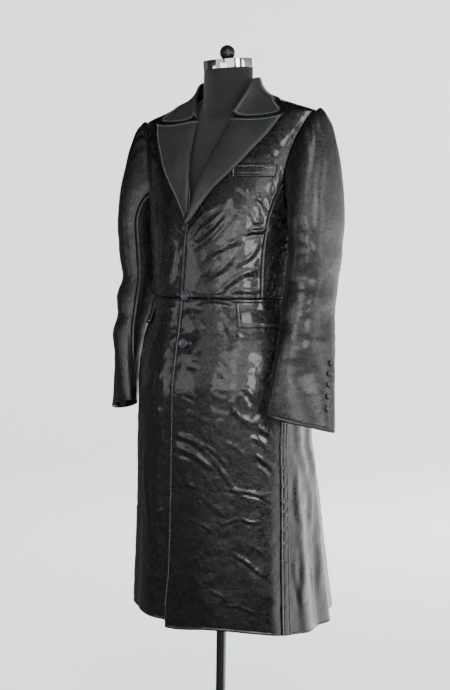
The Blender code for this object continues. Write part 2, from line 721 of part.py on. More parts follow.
def make_pockets():
    """The breast welt, and on each hip a jet with its flap."""
    grid = []
    for v in (0.0, 0.5, 1.0):
        start, end = mix(WELT_START[1], WELT_START[0], v), mix(WELT_END[1], WELT_END[0], v)
        grid.append([[mix(start, end, i / 7), mix(*WELT_HEIGHTS, v)] for i in range(8)])
    sheet_on_body("breast_welt", grid, flat(LIE + WALL), 1)
    for side, word in ((1, "left"), (-1, "right")):
        grid = []
        for height in (JET_TOP, JET_BOTTOM):
            grid.append([[mix(*FLAP_ANGLES, i / 12), height] for i in range(13)])
        sheet_on_body("pocket_jet_" + word, grid, flat(LIE + JET_WALL), side, JET_WALL)
        heights = [height for height in SKIRT_ROWS if FLAP_BOTTOM <= height <= FLAP_TOP]
        grid = [[[mix(*FLAP_ANGLES, i / 12), height] for i in range(13)] for height in heights]
        sheet_on_body(
            "flap_" + word, grid, lambda u, v: LIE + WALL + FLAP_FLARE * v * v * (1 - 0.5 * u), side
        )


def button_profile(radius, depth):
    """A button with a raised rim and a dished middle, from the front's centre round to the back's."""
    return (
        (0.0, depth * 0.62), (radius * 0.60, depth * 0.62), (radius * 0.76, depth),
        (radius * 0.92, depth), (radius, depth * 0.55), (radius * 0.86, 0.0),
    )


def facing(place, normal):
    """A placement that turns +Z to a surface's normal."""
    turn = Vector((0.0, 0.0, 1.0)).rotation_difference(normal)
    frame = turn.to_matrix().to_4x4()
    frame.translation = place
    return frame


def make_buttons():
    for number, (x, height) in enumerate(BUTTONS, 1):
        angle = angle_of(x, height)
        normal = (body(angle, height, 0.01) - body(angle, height)).normalized()
        place = facing(body(angle, height, LIE), normal)
        name = "front_button_%d" % number
        turned(name, button_profile(BUTTON_RADIUS, BUTTON_DEPTH), 20, "button_black", place)
    profile = button_profile(CUFF_BUTTON_RADIUS, CUFF_BUTTON_DEPTH)
    for side, word in ((1, "left"), (-1, "right")):
        for number, height in enumerate(CUFF_BUTTONS, 1):
            point = sleeve_wall(CUFF_BUTTON_TURN, height, side)
            ahead = sleeve_wall(CUFF_BUTTON_TURN + 8, height, side)
            behind = sleeve_wall(CUFF_BUTTON_TURN - 8, height, side)
            up = sleeve_wall(CUFF_BUTTON_TURN, height + 0.01, side) - point
            normal = (behind - ahead).cross(up).normalized()
            middle = (ahead + behind) / 2
            seat = max((point - middle).dot(normal), 0.0) + CUFF_SEAT
            place = middle + normal * seat
            place[0] *= side
            normal[0] *= side
            name = "cuff_button_%s_%d" % (word, number)
            turned(name, profile, 8, "button_black", facing(place, normal))


def form_radius(angle, height):
    """How far the form reaches from its axis in one direction: its bust or its neck, whichever is more."""
    half, front, back = read(FORM, height)
    side, ahead = math.sin(angle), math.cos(angle)
    depth = front if ahead > 0 else back
    bust = (abs(side) / half) ** ROUNDNESS + (abs(ahead) / depth) ** ROUNDNESS
    bust = bust ** (-1 / ROUNDNESS)
    if height < NECK_START:
        return bust
    neck = NECK_RADIUS * ease((height - NECK_START) / NECK_BLEND)
    sharpness = 14
    return (bust**sharpness + neck**sharpness) ** (1 / sharpness)


def make_form():
    """The bust with its neck, the cap and knob on top, and the pole and foot that carry it."""
    heights = [row[0] for row in FORM] + [NECK_PLAIN, NECK_TOP]
    sides = 28
    mesh = bmesh.new()
    rings = []
    for height in heights:
        ring = []
        for k in range(sides):
            turn = 2 * math.pi * k / sides
            radius = form_radius(turn, height) if height <= FORM[-1][0] else NECK_RADIUS
            x, y = radius * math.sin(turn), -radius * math.cos(turn)
            tilt = NECK_TILT * ease((height - TILT_START) / (NECK_TOP - TILT_START))
            ring.append(mesh.verts.new((x, y, height + y * tilt)))
        rings.append(ring)
    for lower, upper in zip(rings, rings[1:]):
        for k in range(sides):
            after = (k + 1) % sides
            mesh.faces.new((lower[k], lower[after], upper[after], upper[k]))
    mesh.faces.new(rings[0])
    mesh.faces.new(rings[-1])
    finish("form_bust", mesh, "form_cover")

    tilt = facing(Vector((0.0, 0.0, NECK_TOP + SEAM)), Vector((0.0, -NECK_TILT, 1.0)).normalized())
    cap = (
        (CAP_RADIUS - CAP_EDGE, CAP_HEIGHT), (CAP_RADIUS, CAP_HEIGHT - CAP_EDGE),
        (CAP_RADIUS, CAP_EDGE), (CAP_RADIUS - CAP_EDGE, 0.0),
    )
    turned("neck_cap", cap, 28, "chrome", tilt)
    ball = [(0.0, KNOB_CENTRE + KNOB_RADIUS)]
    seat = math.acos((CAP_HEIGHT + LIE - KNOB_CENTRE) / KNOB_RADIUS)
    for step in range(1, 8):
        turn = seat * step / 7
        ball.append((KNOB_RADIUS * math.sin(turn), KNOB_CENTRE + KNOB_RADIUS * math.cos(turn)))
    turned("knob", ball, 18, "knob_black", tilt)
    pole = ((POLE_RADIUS, FORM[0][0] - SEAM), (POLE_RADIUS, FOOT_THICKNESS + SEAM))
    turned("pole", pole, 24, "pole_steel")
    make_foot()


def make_foot():
    """The round foot, with a blind socket in its boss for the pole."""
    top, boss_top, bottom_edge = FOOT_THICKNESS, FOOT_THICKNESS + BOSS_HEIGHT, FOOT_EDGE / 2
    profile = (
        (SOCKET_RADIUS, top), (SOCKET_RADIUS, boss_top), (BOSS_RADIUS * 0.72, boss_top),
        (BOSS_RADIUS * 0.80, boss_top - 0.002), (BOSS_RADIUS, top + FOOT_EDGE),
        (BOSS_RADIUS + 0.004, top), (FOOT_RADIUS - FOOT_EDGE, top),
        (FOOT_RADIUS, top - FOOT_EDGE), (FOOT_RADIUS, bottom_edge), (FOOT_RADIUS - bottom_edge, 0.0),
    )
    turned("foot", profile, 32, "foot_paint")


def main():
    for old in list(bpy.data.objects):
        bpy.data.objects.remove(old, do_unlink=True)
    make_bodice()
    make_skirt()
    make_lapels()
    make_collar()
    make_sleeves()
    make_pockets()
    make_buttons()
    make_form()


main()
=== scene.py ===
"""A long black leather frock coat, finished over the solids of the coat and its dress form."""

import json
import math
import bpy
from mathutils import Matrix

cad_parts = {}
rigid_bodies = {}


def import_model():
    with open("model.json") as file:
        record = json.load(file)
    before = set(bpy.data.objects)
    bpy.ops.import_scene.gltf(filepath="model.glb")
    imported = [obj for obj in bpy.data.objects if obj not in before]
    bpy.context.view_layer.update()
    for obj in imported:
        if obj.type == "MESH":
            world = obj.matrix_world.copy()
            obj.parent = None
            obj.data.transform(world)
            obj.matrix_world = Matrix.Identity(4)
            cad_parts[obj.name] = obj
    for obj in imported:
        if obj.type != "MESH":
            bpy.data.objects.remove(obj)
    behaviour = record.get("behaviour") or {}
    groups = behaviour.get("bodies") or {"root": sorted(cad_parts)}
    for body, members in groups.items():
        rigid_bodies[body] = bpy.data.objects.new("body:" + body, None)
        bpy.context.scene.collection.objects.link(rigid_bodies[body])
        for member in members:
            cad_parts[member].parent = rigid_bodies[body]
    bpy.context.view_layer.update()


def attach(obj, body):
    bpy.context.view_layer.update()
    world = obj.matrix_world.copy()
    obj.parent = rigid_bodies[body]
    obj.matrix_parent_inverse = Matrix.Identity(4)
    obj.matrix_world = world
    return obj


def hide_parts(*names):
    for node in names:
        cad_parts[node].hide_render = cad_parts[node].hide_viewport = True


bl_info = {
    "name": "Leather Frock Coat",
    "version": (1, 0, 0),
    "blender": (4, 5, 0),
    "location": "View3D > Sidebar > Coat",
    "description": "Dresses the packed coat and its dress form with leather, stitching, buttons and metal",
    "category": "Object",
}

from itertools import accumulate

import bmesh
import bpy
from bpy.props import FloatProperty, FloatVectorProperty, StringProperty
from mathutils import Matrix, Vector, noise

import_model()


# The coat: its front faces -Y and its wearer's left side is +X, with the pole on the Z axis
WALL = 0.002
SEAM = 0.0004
LIE = 0.0004
# The right front's depth under the left one, the x where it starts to sink and how far it takes to
UNDERLAP = 0.0028
LAP_START = -0.06
LAP_WIDTH = 0.036
WAIST = 1.0505
SHOULDER = 1.4365
NECKLINE = 1.487
ROUNDNESS = 2.2

# Angles of the panels' edges: how far each stands back from a seam, then the shoulder and centre back
SEAM_ANGLE = 0.08
SHOULDER_FRONT = 89.7
SHOULDER_BACK = 90.3
CENTRE_BACK = 179.93

# Rings of the coat's body: height, half width, depth in front, depth behind, middle
BODY = (
    (0.335, 0.217, 0.217, 0.217, 0.043), (0.41, 0.213, 0.2066, 0.2066, 0.0346),
    (0.466, 0.21, 0.2, 0.2, 0.03), (0.568, 0.204, 0.189, 0.189, 0.022), (0.686, 0.2, 0.174, 0.174, 0.009),
    (0.744, 0.198, 0.165, 0.168, 0.001), (0.86, 0.196, 0.162, 0.155, 0.0), (0.925, 0.194, 0.153, 0.14, 0.0),
    (0.962, 0.188, 0.147, 0.128, 0.0), (0.989, 0.1785, 0.1425, 0.118, 0.0), (1.045, 0.163, 0.136, 0.1, 0.0),
    (1.1, 0.164, 0.137, 0.104, 0.0), (1.16, 0.169, 0.1385, 0.11, 0.0), (1.2, 0.174, 0.137, 0.114, 0.0),
    (1.24, 0.18, 0.132, 0.117, 0.0), (1.28, 0.188, 0.123, 0.118, 0.0), (1.315, 0.197, 0.111, 0.118, 0.0),
    (1.35, 0.205, 0.096, 0.115, 0.0), (1.385, 0.213, 0.077, 0.107, 0.0), (1.41, 0.219, 0.062, 0.098, 0.0),
    (1.436, 0.222, 0.046, 0.085, 0.0), (1.46, 0.158, 0.034, 0.073, 0.0), (1.49, 0.076, 0.026, 0.062, 0.0),
)

# Steps in angle and height over which the body's normal is taken, and the heights that it stays between
NORMAL_TURN, NORMAL_RISE, BODY_LOW, BODY_HIGH = 0.8, 0.003, 0.336, 1.4895

# Hem: angle from the centre front towards the left side, height
HEM = (
    (-180, 0.357), (-90, 0.36), (-30, 0.366), (-5, 0.367), (-4.9, 0.352), (20, 0.364), (48, 0.358),
    (70, 0.347), (90, 0.342), (112, 0.342), (128, 0.35), (180, 0.357),
)

# Soft folds that fall from the waist: angle, half spread in degrees, depth at the hem, start height
FOLDS = (
    (14, 9, 0.003, 0.9), (36, 11, -0.0045, 0.98), (58, 9, 0.004, 0.86), (84, 6, 0.005, 0.9),
    (95, 5.5, -0.006, 0.86), (106, 6, 0.006, 0.95), (120, 7, -0.007, 0.98), (134, 7, 0.008, 1),
    (148, 6.5, -0.008, 1), (161, 6.5, 0.009, 1.02), (172, 5, -0.005, 1.02), (-17, 9, 0.0035, 0.92),
    (-39, 10, -0.005, 0.97), (-61, 10, 0.003, 0.88), (-86, 6, 0.0045, 0.92), (-98, 6, -0.006, 0.88),
    (-110, 6.5, 0.007, 0.96), (-124, 7, -0.0065, 0.99), (-137, 6.5, 0.0085, 1), (-150, 6.5, -0.008, 1.01),
    (-163, 6, 0.0085, 1.02), (-173, 5, -0.005, 1.02),
)

# Front edge and roll line of a front, from the hem to the neck: height, distance past the centre front
FRONT_EDGE = (
    (0.335, 0.024), (0.62, 0.0223), (0.86, 0.0228), (1.05, 0.0203), (1.12, 0.015), (1.188, 0.0086),
    (1.204, 0.006), (1.24, -0.002), (1.278, -0.0083), (1.347, -0.0272), (1.42, -0.042), (1.467, -0.061),
    (1.487, -0.082),
)

# Seams between a front and a side body, and a side body and a back: height, angle
FRONT_SEAM = ((1.045, 60), (1.12, 60), (1.2, 60.8), (1.25, 63.5), (1.295, 68.4))
BACK_SEAM = ((1.045, 120), (1.12, 119), (1.2, 116.5), (1.25, 114), (1.295, 111.6))
ARMHOLE_MIDDLE = 1.338
ARMHOLE_HALF_HEIGHT = 0.099
ARMHOLE_HALF_ANGLE = 23.5
ARMHOLE_ROUNDNESS = 2.3
ARMHOLE_GAP = 0.0003
ARMHOLE_START = 0.56
FRONT_NOTCH = 115.0
BACK_NOTCH = 245.0

# Lapel on the front: roll x, roll height, edge x, edge height, bow of the row
LAPEL = (
    (-0.0055, 1.206, -0.001, 1.2035, 0.0), (0.0005, 1.229, 0.0095, 1.213, 0.0),
    (0.0065, 1.254, 0.031, 1.244, 0.0), (0.0105, 1.278, 0.0524, 1.274, 0.0),
    (0.02, 1.312, 0.077, 1.301, 0.0), (0.0295, 1.347, 0.1005, 1.328, 0.0),
    (0.037, 1.383, 0.123, 1.359, 0.0), (0.042, 1.41, 0.145, 1.389, -0.002),
    (0.0465, 1.43, 0.167, 1.431, -0.008),
)
# Height of the lapel's outer face off the front: share of the width from the roll, lift
LAPEL_ROLL = (
    (0.0, 0.0026), (0.12, 0.0066), (0.35, 0.0074), (0.7, 0.0062), (1, 0.0054),
)

# Collar from the gorge to the centre back: stand x, y, z, fold x, y, z, edge angle, edge height, bow
COLLAR = (
    (0.046, -0.0488, 1.4328, 0.0488, -0.0568, 1.4405, 40.2, 1.4345, -0.006),
    (0.0585, -0.03, 1.466, 0.0625, -0.038, 1.475, 57, 1.459, -0.001),
    (0.077, -0.004, 1.489, 0.0665, -0.0025, 1.5165, 88, 1.4755, 0.0),
    (0.073, 0.029, 1.4885, 0.0585, 0.024, 1.5235, 112, 1.472, 0.0),
    (0.046, 0.052, 1.4885, 0.0395, 0.0445, 1.527, 145, 1.466, 0.0),
    (0.0, 0.06, 1.4885, 0.0, 0.0585, 1.5285, 180, 1.4635, 0.0),
)
FOLD_RADIUS = 0.0042

# Left sleeve below its head: height, centre x, centre y, half length, half width, twist
SLEEVE = (
    (0.8, 0.2436, -0.0751, 0.0725, 0.027, 50), (0.889, 0.2419, -0.0606, 0.069, 0.031, 35),
    (0.962, 0.237, -0.044, 0.069, 0.035, 20), (1.032, 0.228, -0.0225, 0.069, 0.04, 8),
    (1.09, 0.224, -0.005, 0.071, 0.043, 2), (1.151, 0.2285, 0.001, 0.075, 0.045, 0.0),
    (1.205, 0.23, 0.0, 0.08, 0.0455, 0.0),
)
CUFF = 0.8
HEAD = 1.205
SLEEVE_SEAT = 0.0006
HEAD_FULLNESS = 0.52
HEAD_DROP = 1.4
CUFF_SLANT = 0.017
CUFF_RISE = 0.1
# How far the right cuff stands in and back from the left one's place, before it is mirrored
RIGHT_TUCK = Vector((-0.004, 0.017, 0))
GATHER_DEPTH = 0.004
GATHERS_ROUND = 20
GATHERED = 80.0
FOREARM_SEAM = 125.0
HINDARM_SEAM = 255.0

# Soft folds of a sleeve: height, turn, half rise, half spread in degrees, depth
SLEEVE_FOLDS = (
    (1.165, 350, 0.03, 60, -0.003), (1.095, 60, 0.024, 55, -0.005), (1.05, 35, 0.02, 60, 0.004),
    (1.005, 70, 0.022, 60, -0.0055), (0.96, 20, 0.024, 50, 0.0035), (0.905, 345, 0.03, 55, -0.0035),
    (1.06, 255, 0.03, 45, 0.003), (0.985, 215, 0.03, 60, -0.003),
)

# Pockets: angles and heights on the coat's body
WELT_START = (22.3, 24.9)
WELT_END = (57.5, 59.0)
WELT_HEIGHTS = (1.3005, 1.3272)
FLAP_ANGLES = (38.2, 92.0)
FLAP_TOP = 1.0425
FLAP_BOTTOM = 0.9915
FLAP_FLARE = 0.0035
JET_TOP = 1.0498
JET_BOTTOM = 1.043
JET_WALL = 0.0015

# Lapped strip down each side seam of the skirt: height, angle of its front edge
STRIP_EDGE = ((0.335, 64.3), (0.425, 65.2), (0.62, 68), (0.8, 70.7), (0.99, 75))
STRIP_SEAM = 3.8
STRIP_SPREAD = 7.05
STRIP_TOP = 0.97
STRIP_WALL = 0.0016

# Height near the hem, where the soft folds are deepest
HEM_LEVEL = 0.36

# Buttons: the front's x and height, then the cuff's heights
BUTTONS = ((-0.0055, 1.0555), (0.001, 0.956))
BUTTON_RADIUS = 0.0105
BUTTON_DEPTH = 0.0042
CUFF_BUTTONS = (0.9236, 0.9029, 0.8822, 0.8615, 0.8408)
CUFF_BUTTON_TURN = 316.4
CUFF_BUTTON_RADIUS = 0.0066
CUFF_BUTTON_DEPTH = 0.0032

# Dress form: rings of height, half width, depth in front, depth behind
FORM = (
    (0.79, 0.06, 0.056, 0.056), (0.796, 0.105, 0.09, 0.09), (0.812, 0.135, 0.108, 0.108),
    (0.86, 0.154, 0.122, 0.122), (0.92, 0.161, 0.126, 0.118), (0.985, 0.156, 0.123, 0.104),
    (1.05, 0.148, 0.121, 0.09), (1.11, 0.148, 0.121, 0.092), (1.17, 0.153, 0.1225, 0.0985),
    (1.22, 0.16, 0.1205, 0.103), (1.26, 0.1665, 0.114, 0.105), (1.3, 0.174, 0.104, 0.105),
    (1.34, 0.184, 0.09, 0.104), (1.38, 0.196, 0.071, 0.098), (1.41, 0.206, 0.056, 0.09),
    (1.428, 0.209, 0.0463, 0.0836), (1.4385, 0.192, 0.0398, 0.0783), (1.45, 0.1622, 0.0318, 0.0727),
    (1.462, 0.12, 0.022, 0.064), (1.474, 0.08, 0.018, 0.057), (1.488, 0.056, 0.02, 0.051),
)
NECK_RADIUS = 0.053
NECK_START = 1.4
NECK_BLEND = 0.05
NECK_TOP = 1.5415
TILT_START = 1.495
NECK_TILT = math.tan(math.radians(7.5))
CAP_RADIUS = 0.0535
CAP_HEIGHT = 0.0195
CAP_EDGE = 0.0008
KNOB_RADIUS = 0.0165
KNOB_CENTRE = 0.0345
POLE_RADIUS = 0.011
SOCKET_RADIUS = 0.0116
FOOT_RADIUS = 0.175
FOOT_THICKNESS = 0.009
FOOT_EDGE = 0.003
BOSS_RADIUS = 0.026
BOSS_HEIGHT = 0.03

# How near a piece's edges its extra rows and columns of points stand
NEAR_EDGE = (0.0008, 0.002, 0.0036, 0.005, 0.0062, 0.0076, 0.01, 0.0135)
# Thickness of the hide's shell, under its outer face
HIDE = 0.0016
# How far inside a free edge the stitching and its groove run, then the stitches' pitch, length and width
STITCH_INSET = 0.006
STITCH_PITCH = 0.0036
STITCH_LENGTH = 0.0028
STITCH_WIDTH = 0.0011

# Creases of the bodice, in degrees and millimetres: start angle and height, end angle and height,
# half width, depth
BODICE_CREASES = (
    (-1, 1185, 20, 1243, 5, 2.2), (3, 1152, 32, 1222, 5.5, 2), (13, 1128, 41, 1182, 6, 1.6),
    (9, 1191, 25, 1229, 4, 1.5), (44, 1184, 66, 1192, 4.2, 4.2), (47, 1198, 63, 1204, 4.6, -2),
    (34, 1277, 53, 1250, 4, 1.2), (42, 1283, 61, 1221, 4.2, 1.4), (38, 1247, 53, 1207, 4.6, 1.2),
    (53, 1265, 63, 1199, 4, 1.3), (29, 1288, 40, 1262, 4, 1), (30, 1238, 44, 1222, 3.8, 1),
    (24, 1070, 57, 1114, 6, 1.7), (32, 1060, 60, 1073, 4.6, 1.6), (41, 1124, 59, 1162, 5, 1.5),
    (14, 1084, 35, 1138, 6, 1.4), (3, 1066, 31, 1060, 3.6, 1.4), (10, 1100, 24, 1118, 4.5, 0.9),
    (46, 1096, 58, 1092, 3.6, -1.2), (18, 1155, 34, 1160, 4.5, -1), (26, 1330, 48, 1352, 7, 1),
    (60, 1330, 64, 1268, 5, 1.4), (50, 1372, 62, 1352, 6, 1), (70, 1245, 84, 1205, 4.8, 1.6),
    (75, 1160, 104, 1176, 5, 1.5), (68, 1110, 92, 1084, 5, 1.6), (88, 1132, 110, 1150, 4.6, -1.3),
    (66, 1142, 78, 1122, 4, 1.2), (-24, 1176, -30, 1068, 7, 1.6), (-12, 1152, -18, 1056, 6, 1.2),
    (-36, 1258, -30, 1190, 6, 1.5), (-17, 1226, -4, 1180, 5, 1.5), (-44, 1190, -64, 1201, 4.2, 2.4),
    (-40, 1282, -60, 1236, 4.6, 1.3), (-30, 1080, -56, 1112, 5.5, 1.6), (-20, 1066, -46, 1058, 4, 1.4),
    (-40, 1140, -58, 1165, 5, 1.2), (-34, 1330, -52, 1362, 6, 1.1), (-72, 1240, -86, 1204, 4.8, 1.5),
    (-78, 1160, -104, 1180, 5, 1.5), (-70, 1088, -96, 1110, 5, -1.4), (-88, 1128, -110, 1140, 4.6, 1.2),
)

# Creases of the back: the same columns
BACK_CREASES = (
    (122, 1068, 158, 1082, 6, 2.2), (132, 1092, 176, 1106, 6.5, 2), (118, 1120, 146, 1112, 5, 1.4),
    (128, 1290, 150, 1220, 8, 2), (124, 1262, 138, 1192, 6, 1.5), (140, 1350, 158, 1382, 9, 1.4),
    (150, 1190, 168, 1160, 6, 1), (160, 1310, 170, 1200, 10, 1.4), (126, 1340, 140, 1310, 6, 1.4),
    (150, 1420, 176, 1424, 6, 1), (134, 1145, 152, 1154, 4.5, -1.2), (-124, 1074, -160, 1064, 5.8, 2),
    (-136, 1104, -178, 1090, 6.5, 2.2), (-118, 1126, -140, 1118, 5, 1.4),
    (-128, 1284, -148, 1208, 7.5, 2.1), (-125, 1240, -136, 1180, 5.5, 1.4),
    (-142, 1360, -160, 1376, 9, 1.4), (-158, 1320, -168, 1220, 10, 1.3), (-128, 1332, -142, 1308, 6, 1.3),
    (-146, 1160, -166, 1140, 5, 1.2),
)

# Creases of the skirt: the same columns
SKIRT_CREASES = (
    (6, 1040, 36, 1046, 3.8, 1.8), (26, 1026, 43, 958, 6, 0.7), (10, 1006, 30, 974, 6, 0.7),
    (4, 858, 12, 840, 4, 2), (-1, 768, 20, 734, 5.5, 2.2), (0, 737, 25, 702, 6, 2),
    (12, 760, 36, 697, 3.2, 1.1), (20, 718, 47, 637, 5, 0.9), (30, 667, 62, 632, 2.6, 2.1),
    (46, 652, 63, 651, 2.6, 1.6), (29, 590, 40, 598, 2.6, 1.7), (40, 598, 52, 590, 2.6, 1.6),
    (39, 515, 59, 476, 3.6, 1.5), (35, 532, 46, 500, 2.8, 1.3), (50, 538, 57, 512, 2.8, 1.4),
    (54, 792, 63, 768, 5, 2.6), (50, 768, 62, 742, 5, 1.5), (52, 730, 64, 705, 4.6, 2.4),
    (55, 716, 62, 686, 4, -1.8), (34, 832, 50, 788, 5.6, 0.9), (43, 880, 56, 812, 6, 1.1),
    (20, 928, 40, 884, 6, 0.7), (5, 922, 18, 902, 5, 0.7), (3, 670, 16, 656, 4.5, 0.9),
    (6, 592, 24, 572, 3, 1), (4, 500, 19, 519, 5, 0.6), (31, 418, 49, 404, 2.6, 1.3),
    (23, 448, 31, 428, 2.6, 1.2), (52, 436, 61, 434, 2.6, 1.4), (14, 640, 34, 606, 6, 0.7),
    (30, 762, 44, 728, 4.5, 0.7), (8, 812, 22, 796, 4.5, 0.6), (91, 860, 94, 620, 11, 2.6),
    (84, 700, 86, 545, 8, 2), (96, 640, 98, 470, 10, 2.4), (82, 560, 84, 400, 7, 1.8),
    (100, 550, 100, 400, 9, 2), (79, 510, 79, 390, 6, 1.4), (104, 800, 106, 630, 10, 1.8),
    (88, 620, 97, 594, 4.5, 1.2), (86, 760, 98, 744, 4.5, 1.2), (92, 470, 106, 452, 5, 1.2),
    (112, 920, 130, 870, 6, 1.8), (120, 700, 138, 668, 6, 1.4), (140, 980, 160, 944, 7, 2),
    (150, 820, 172, 790, 6, 1.8), (126, 560, 144, 530, 6, 1.4), (156, 640, 174, 618, 6, 1.4),
    (118, 440, 134, 424, 5, 1.2), (150, 470, 168, 446, 6, 1.4), (-10, 1030, -30, 1010, 5, 1.4),
    (-22, 980, -32, 900, 7, 1.4), (-16, 910, -14, 750, 8, 1.2), (-28, 742, -26, 526, 10, 1.6),
    (-15, 682, -16, 490, 8, 1.2), (-20, 484, -9, 428, 5, 1.4), (-36, 820, -56, 770, 5.6, 1.8),
    (-30, 700, -54, 660, 5, 1.6), (-44, 600, -60, 566, 4.5, 1.4), (-34, 440, -52, 420, 4.5, 1.3),
    (-46, 930, -60, 860, 6, 1.6), (-8, 600, -22, 584, 4.5, 1), (-90, 850, -94, 640, 11, 2.4),
    (-82, 640, -84, 430, 8, 1.8), (-100, 620, -102, 440, 10, 2.2), (-112, 930, -132, 880, 6, 1.8),
    (-122, 720, -142, 690, 6, 1.5), (-142, 970, -164, 950, 7, 1.8), (-152, 800, -174, 782, 6, 1.6),
    (-128, 540, -146, 520, 6, 1.4), (-158, 610, -176, 600, 6, 1.3), (-136, 430, -156, 446, 5, 1.2),
)

# Puckers along the lapped strip of each side seam, in metres: height, half height, depth
STRIP_PUCKERS = (
    (0.737, 0.004, 0.0014), (0.699, 0.0044, 0.002), (0.684, 0.0036, 0.0012), (0.66, 0.0042, 0.0021),
    (0.627, 0.005, 0.0022), (0.606, 0.004, 0.0018), (0.567, 0.0044, 0.002), (0.54, 0.004, 0.0021),
    (0.498, 0.0046, 0.0012), (0.452, 0.004, 0.0012), (0.82, 0.005, 0.0012), (0.884, 0.005, 0.001),
    (0.408, 0.004, 0.0014),
)

# Creases of a sleeve: the same columns, with its turns for angles
SLEEVE_CREASES = (
    (98, 1176, 30, 1148, 7, 0.8), (60, 1196, 6, 1186, 8.8, 0.5), (110, 1132, 40, 1156, 6.3, 0.7),
    (62, 1102, -8, 1120, 7.5, 0.8), (112, 1084, 66, 1078, 5.6, 0.7), (97, 1054, 37, 1070, 6.3, 0.8),
    (70, 1018, -14, 1040, 6.9, 0.7), (104, 1020, 74, 1010, 5, -0.6), (38, 982, -17, 960, 6.9, 0.7),
    (88, 952, 25, 930, 6.3, 0.6), (44, 908, -10, 921, 6.3, 0.5), (112, 880, 40, 862, 5.6, 0.4),
    (10, 860, -26, 878, 5.6, 0.4), (40, 1245, 14, 1170, 10, 0.6), (84, 1262, 70, 1190, 10, 0.7),
    (-20, 1246, -34, 1150, 11.2, 0.6), (-50, 1120, -84, 1100, 6.9, 0.7), (-40, 1060, -90, 1076, 6.9, 0.7),
    (-44, 1010, -84, 990, 6.3, 0.7), (-50, 944, -80, 950, 6.3, 0.5), (130, 1120, 176, 1098, 6.3, 0.8),
    (128, 1076, 190, 1084, 6.3, 0.9), (132, 1036, 184, 1052, 6.3, 0.8), (134, 996, 176, 984, 5.6, 0.6),
    (200, 1112, 250, 1130, 7.5, 0.7), (196, 1020, 246, 1004, 7.5, 0.7), (206, 930, 248, 944, 6.3, 0.5),
    (150, 900, 190, 916, 6.3, 0.5), (20, 1220, 8, 830, 13.7, 0.4), (52, 1100, 46, 850, 13.7, -0.4),
)

# Buttonholes with no button through them: x, height; then half the length of every hole
OPEN_HOLES = ((0.0147, 1.163), (0.0071, 0.8554))
HOLE_HALF = 0.012
# How far a fastened hole's middle stands past its button's
HOLE_SHIFT = 0.0085

# Lower edge of the bodice's panels, upper edge of the skirt's
BODICE_FLOOR = WAIST + SEAM / 2
SKIRT_TOP = WAIST - SEAM / 2
SIDES = ((1, "left"), (-1, "right"))
ALL_FREE = ("free",) * 4

# How many metres a degree round a piece takes up, for the slant of its creases
BODICE_SCALE, SKIRT_FRONT_SCALE, SKIRT_BACK_SCALE, SLEEVE_SCALE = 0.0029, 0.0033, 0.0035, 0.00105
# Heights at which the level rows of the skirt's panels and of its strips end, above the hem's own rows
PANEL_LEVEL, STRIP_LEVEL = 0.46, 0.47
# How far from an edge the creases start to die out
CALM_EDGE = 0.012
# Share of a back's upper edge that is neck; the rest is shoulder
NECK_SHARE = 0.45

# Points inside the coat, from which each piece's outer side is told
INSIDE_BODICE = Vector((0, 0, 1.20))
INSIDE_SKIRT = Vector((0, 0.02, 0.70))
INSIDE_CHEST = Vector((0, 0.10, 1.30))

# A button's section from its middle over the rim to its underside: share of the radius, of the depth
BUTTON_PROFILE = (
    (0, 0.6), (0.3, 0.6), (0.56, 0.62), (0.64, 0.7), (0.7, 0.88), (0.76, 0.97), (0.83, 1), (0.9, 0.97),
    (0.96, 0.86), (0.995, 0.66), (1, 0.5), (0.97, 0.26), (0.88, 0.04), (0.8, 0),
)
# Edges of a turned piece that bend by more than this many degrees stay sharp
CORNER = 38

# Paper sweep: flat floor's radius, radius of its curve, wall's height, sides
SWEEP_FLAT, SWEEP_CURVE, SWEEP_TOP, SWEEP_SIDES = 4.0, 3.0, 6.0, 128
SWEEP_DROP = 0.0005

# Soft panels: name, degrees round to the wearer's left, distance, height, width, tallness, share of the power
PANELS = (
    ("window_panel", 42, 3.0, 1.50, 2.3, 1.40, 0.27), ("window_edge", -4, 3.0, 1.55, 1.9, 1.30, 0.095),
    ("window_left", -32, 3.0, 1.10, 1.0, 0.8, 0.070), ("window_low", 14, 2.8, 1.12, 1.40, 0.9, 0.150),
    ("window_bar", 50, 2.8, 1.02, 0.80, 0.7, 0.20), ("key_softbox", 80, 2.6, 1.55, 0.7, 1.0, 0.34),
    ("right_strip", 108, 2.4, 1.40, 0.5, 1.2, 0.12), ("left_fill", -95, 3.2, 1.40, 2.4, 1.6, 0.020),
    ("left_strip", -150, 2.8, 1.20, 0.35, 1.9, 0.09), ("top_softbox", 44, 2.6, 2.90, 1.2, 0.9, 0.40),
    ("ring_card", 7, 2.6, 1.96, 0.35, 0.4, 0.02), ("back_wash", 205, 3.2, 2.60, 1.6, 1.2, 0.36),
)
COAT_MIDDLE = Vector((0, 0, 0.95))
# The wall is whiter on the right of the picture, by a window that the coat can't see
WALL_WASH = ("wall_wash", 150, 3.0, 1.6, 1.0, 1.5, 2.4)
WALL_MIDDLE = Vector((-2.4, 6.6, 1.2))

# Camera: degrees round to the wearer's left, down and rolled, then its lens
CAMERA_TURN, CAMERA_PITCH, CAMERA_ROLL, CAMERA_LENS = 36.0, 4.0, 0.72, 59.58


def mix(low, high, share):
    return low + (high - low) * share


def ease(share):
    share = min(max(share, 0.0), 1.0)
    return share * share * (3 - 2 * share)


def hermite(t):
    """Weights of a smooth curve's start and end, then of its slopes there."""
    return 2 * t**3 - 3 * t**2 + 1, 3 * t**2 - 2 * t**3, t**3 - 2 * t**2 + t, t**3 - t**2


def bell(away):
    """A smooth bump: 1 at its middle, 0.37 at a distance of 1."""
    return math.exp(-(away**2))


def direction(degrees):
    """Sine and cosine of an angle."""
    return math.sin(math.radians(degrees)), math.cos(math.radians(degrees))


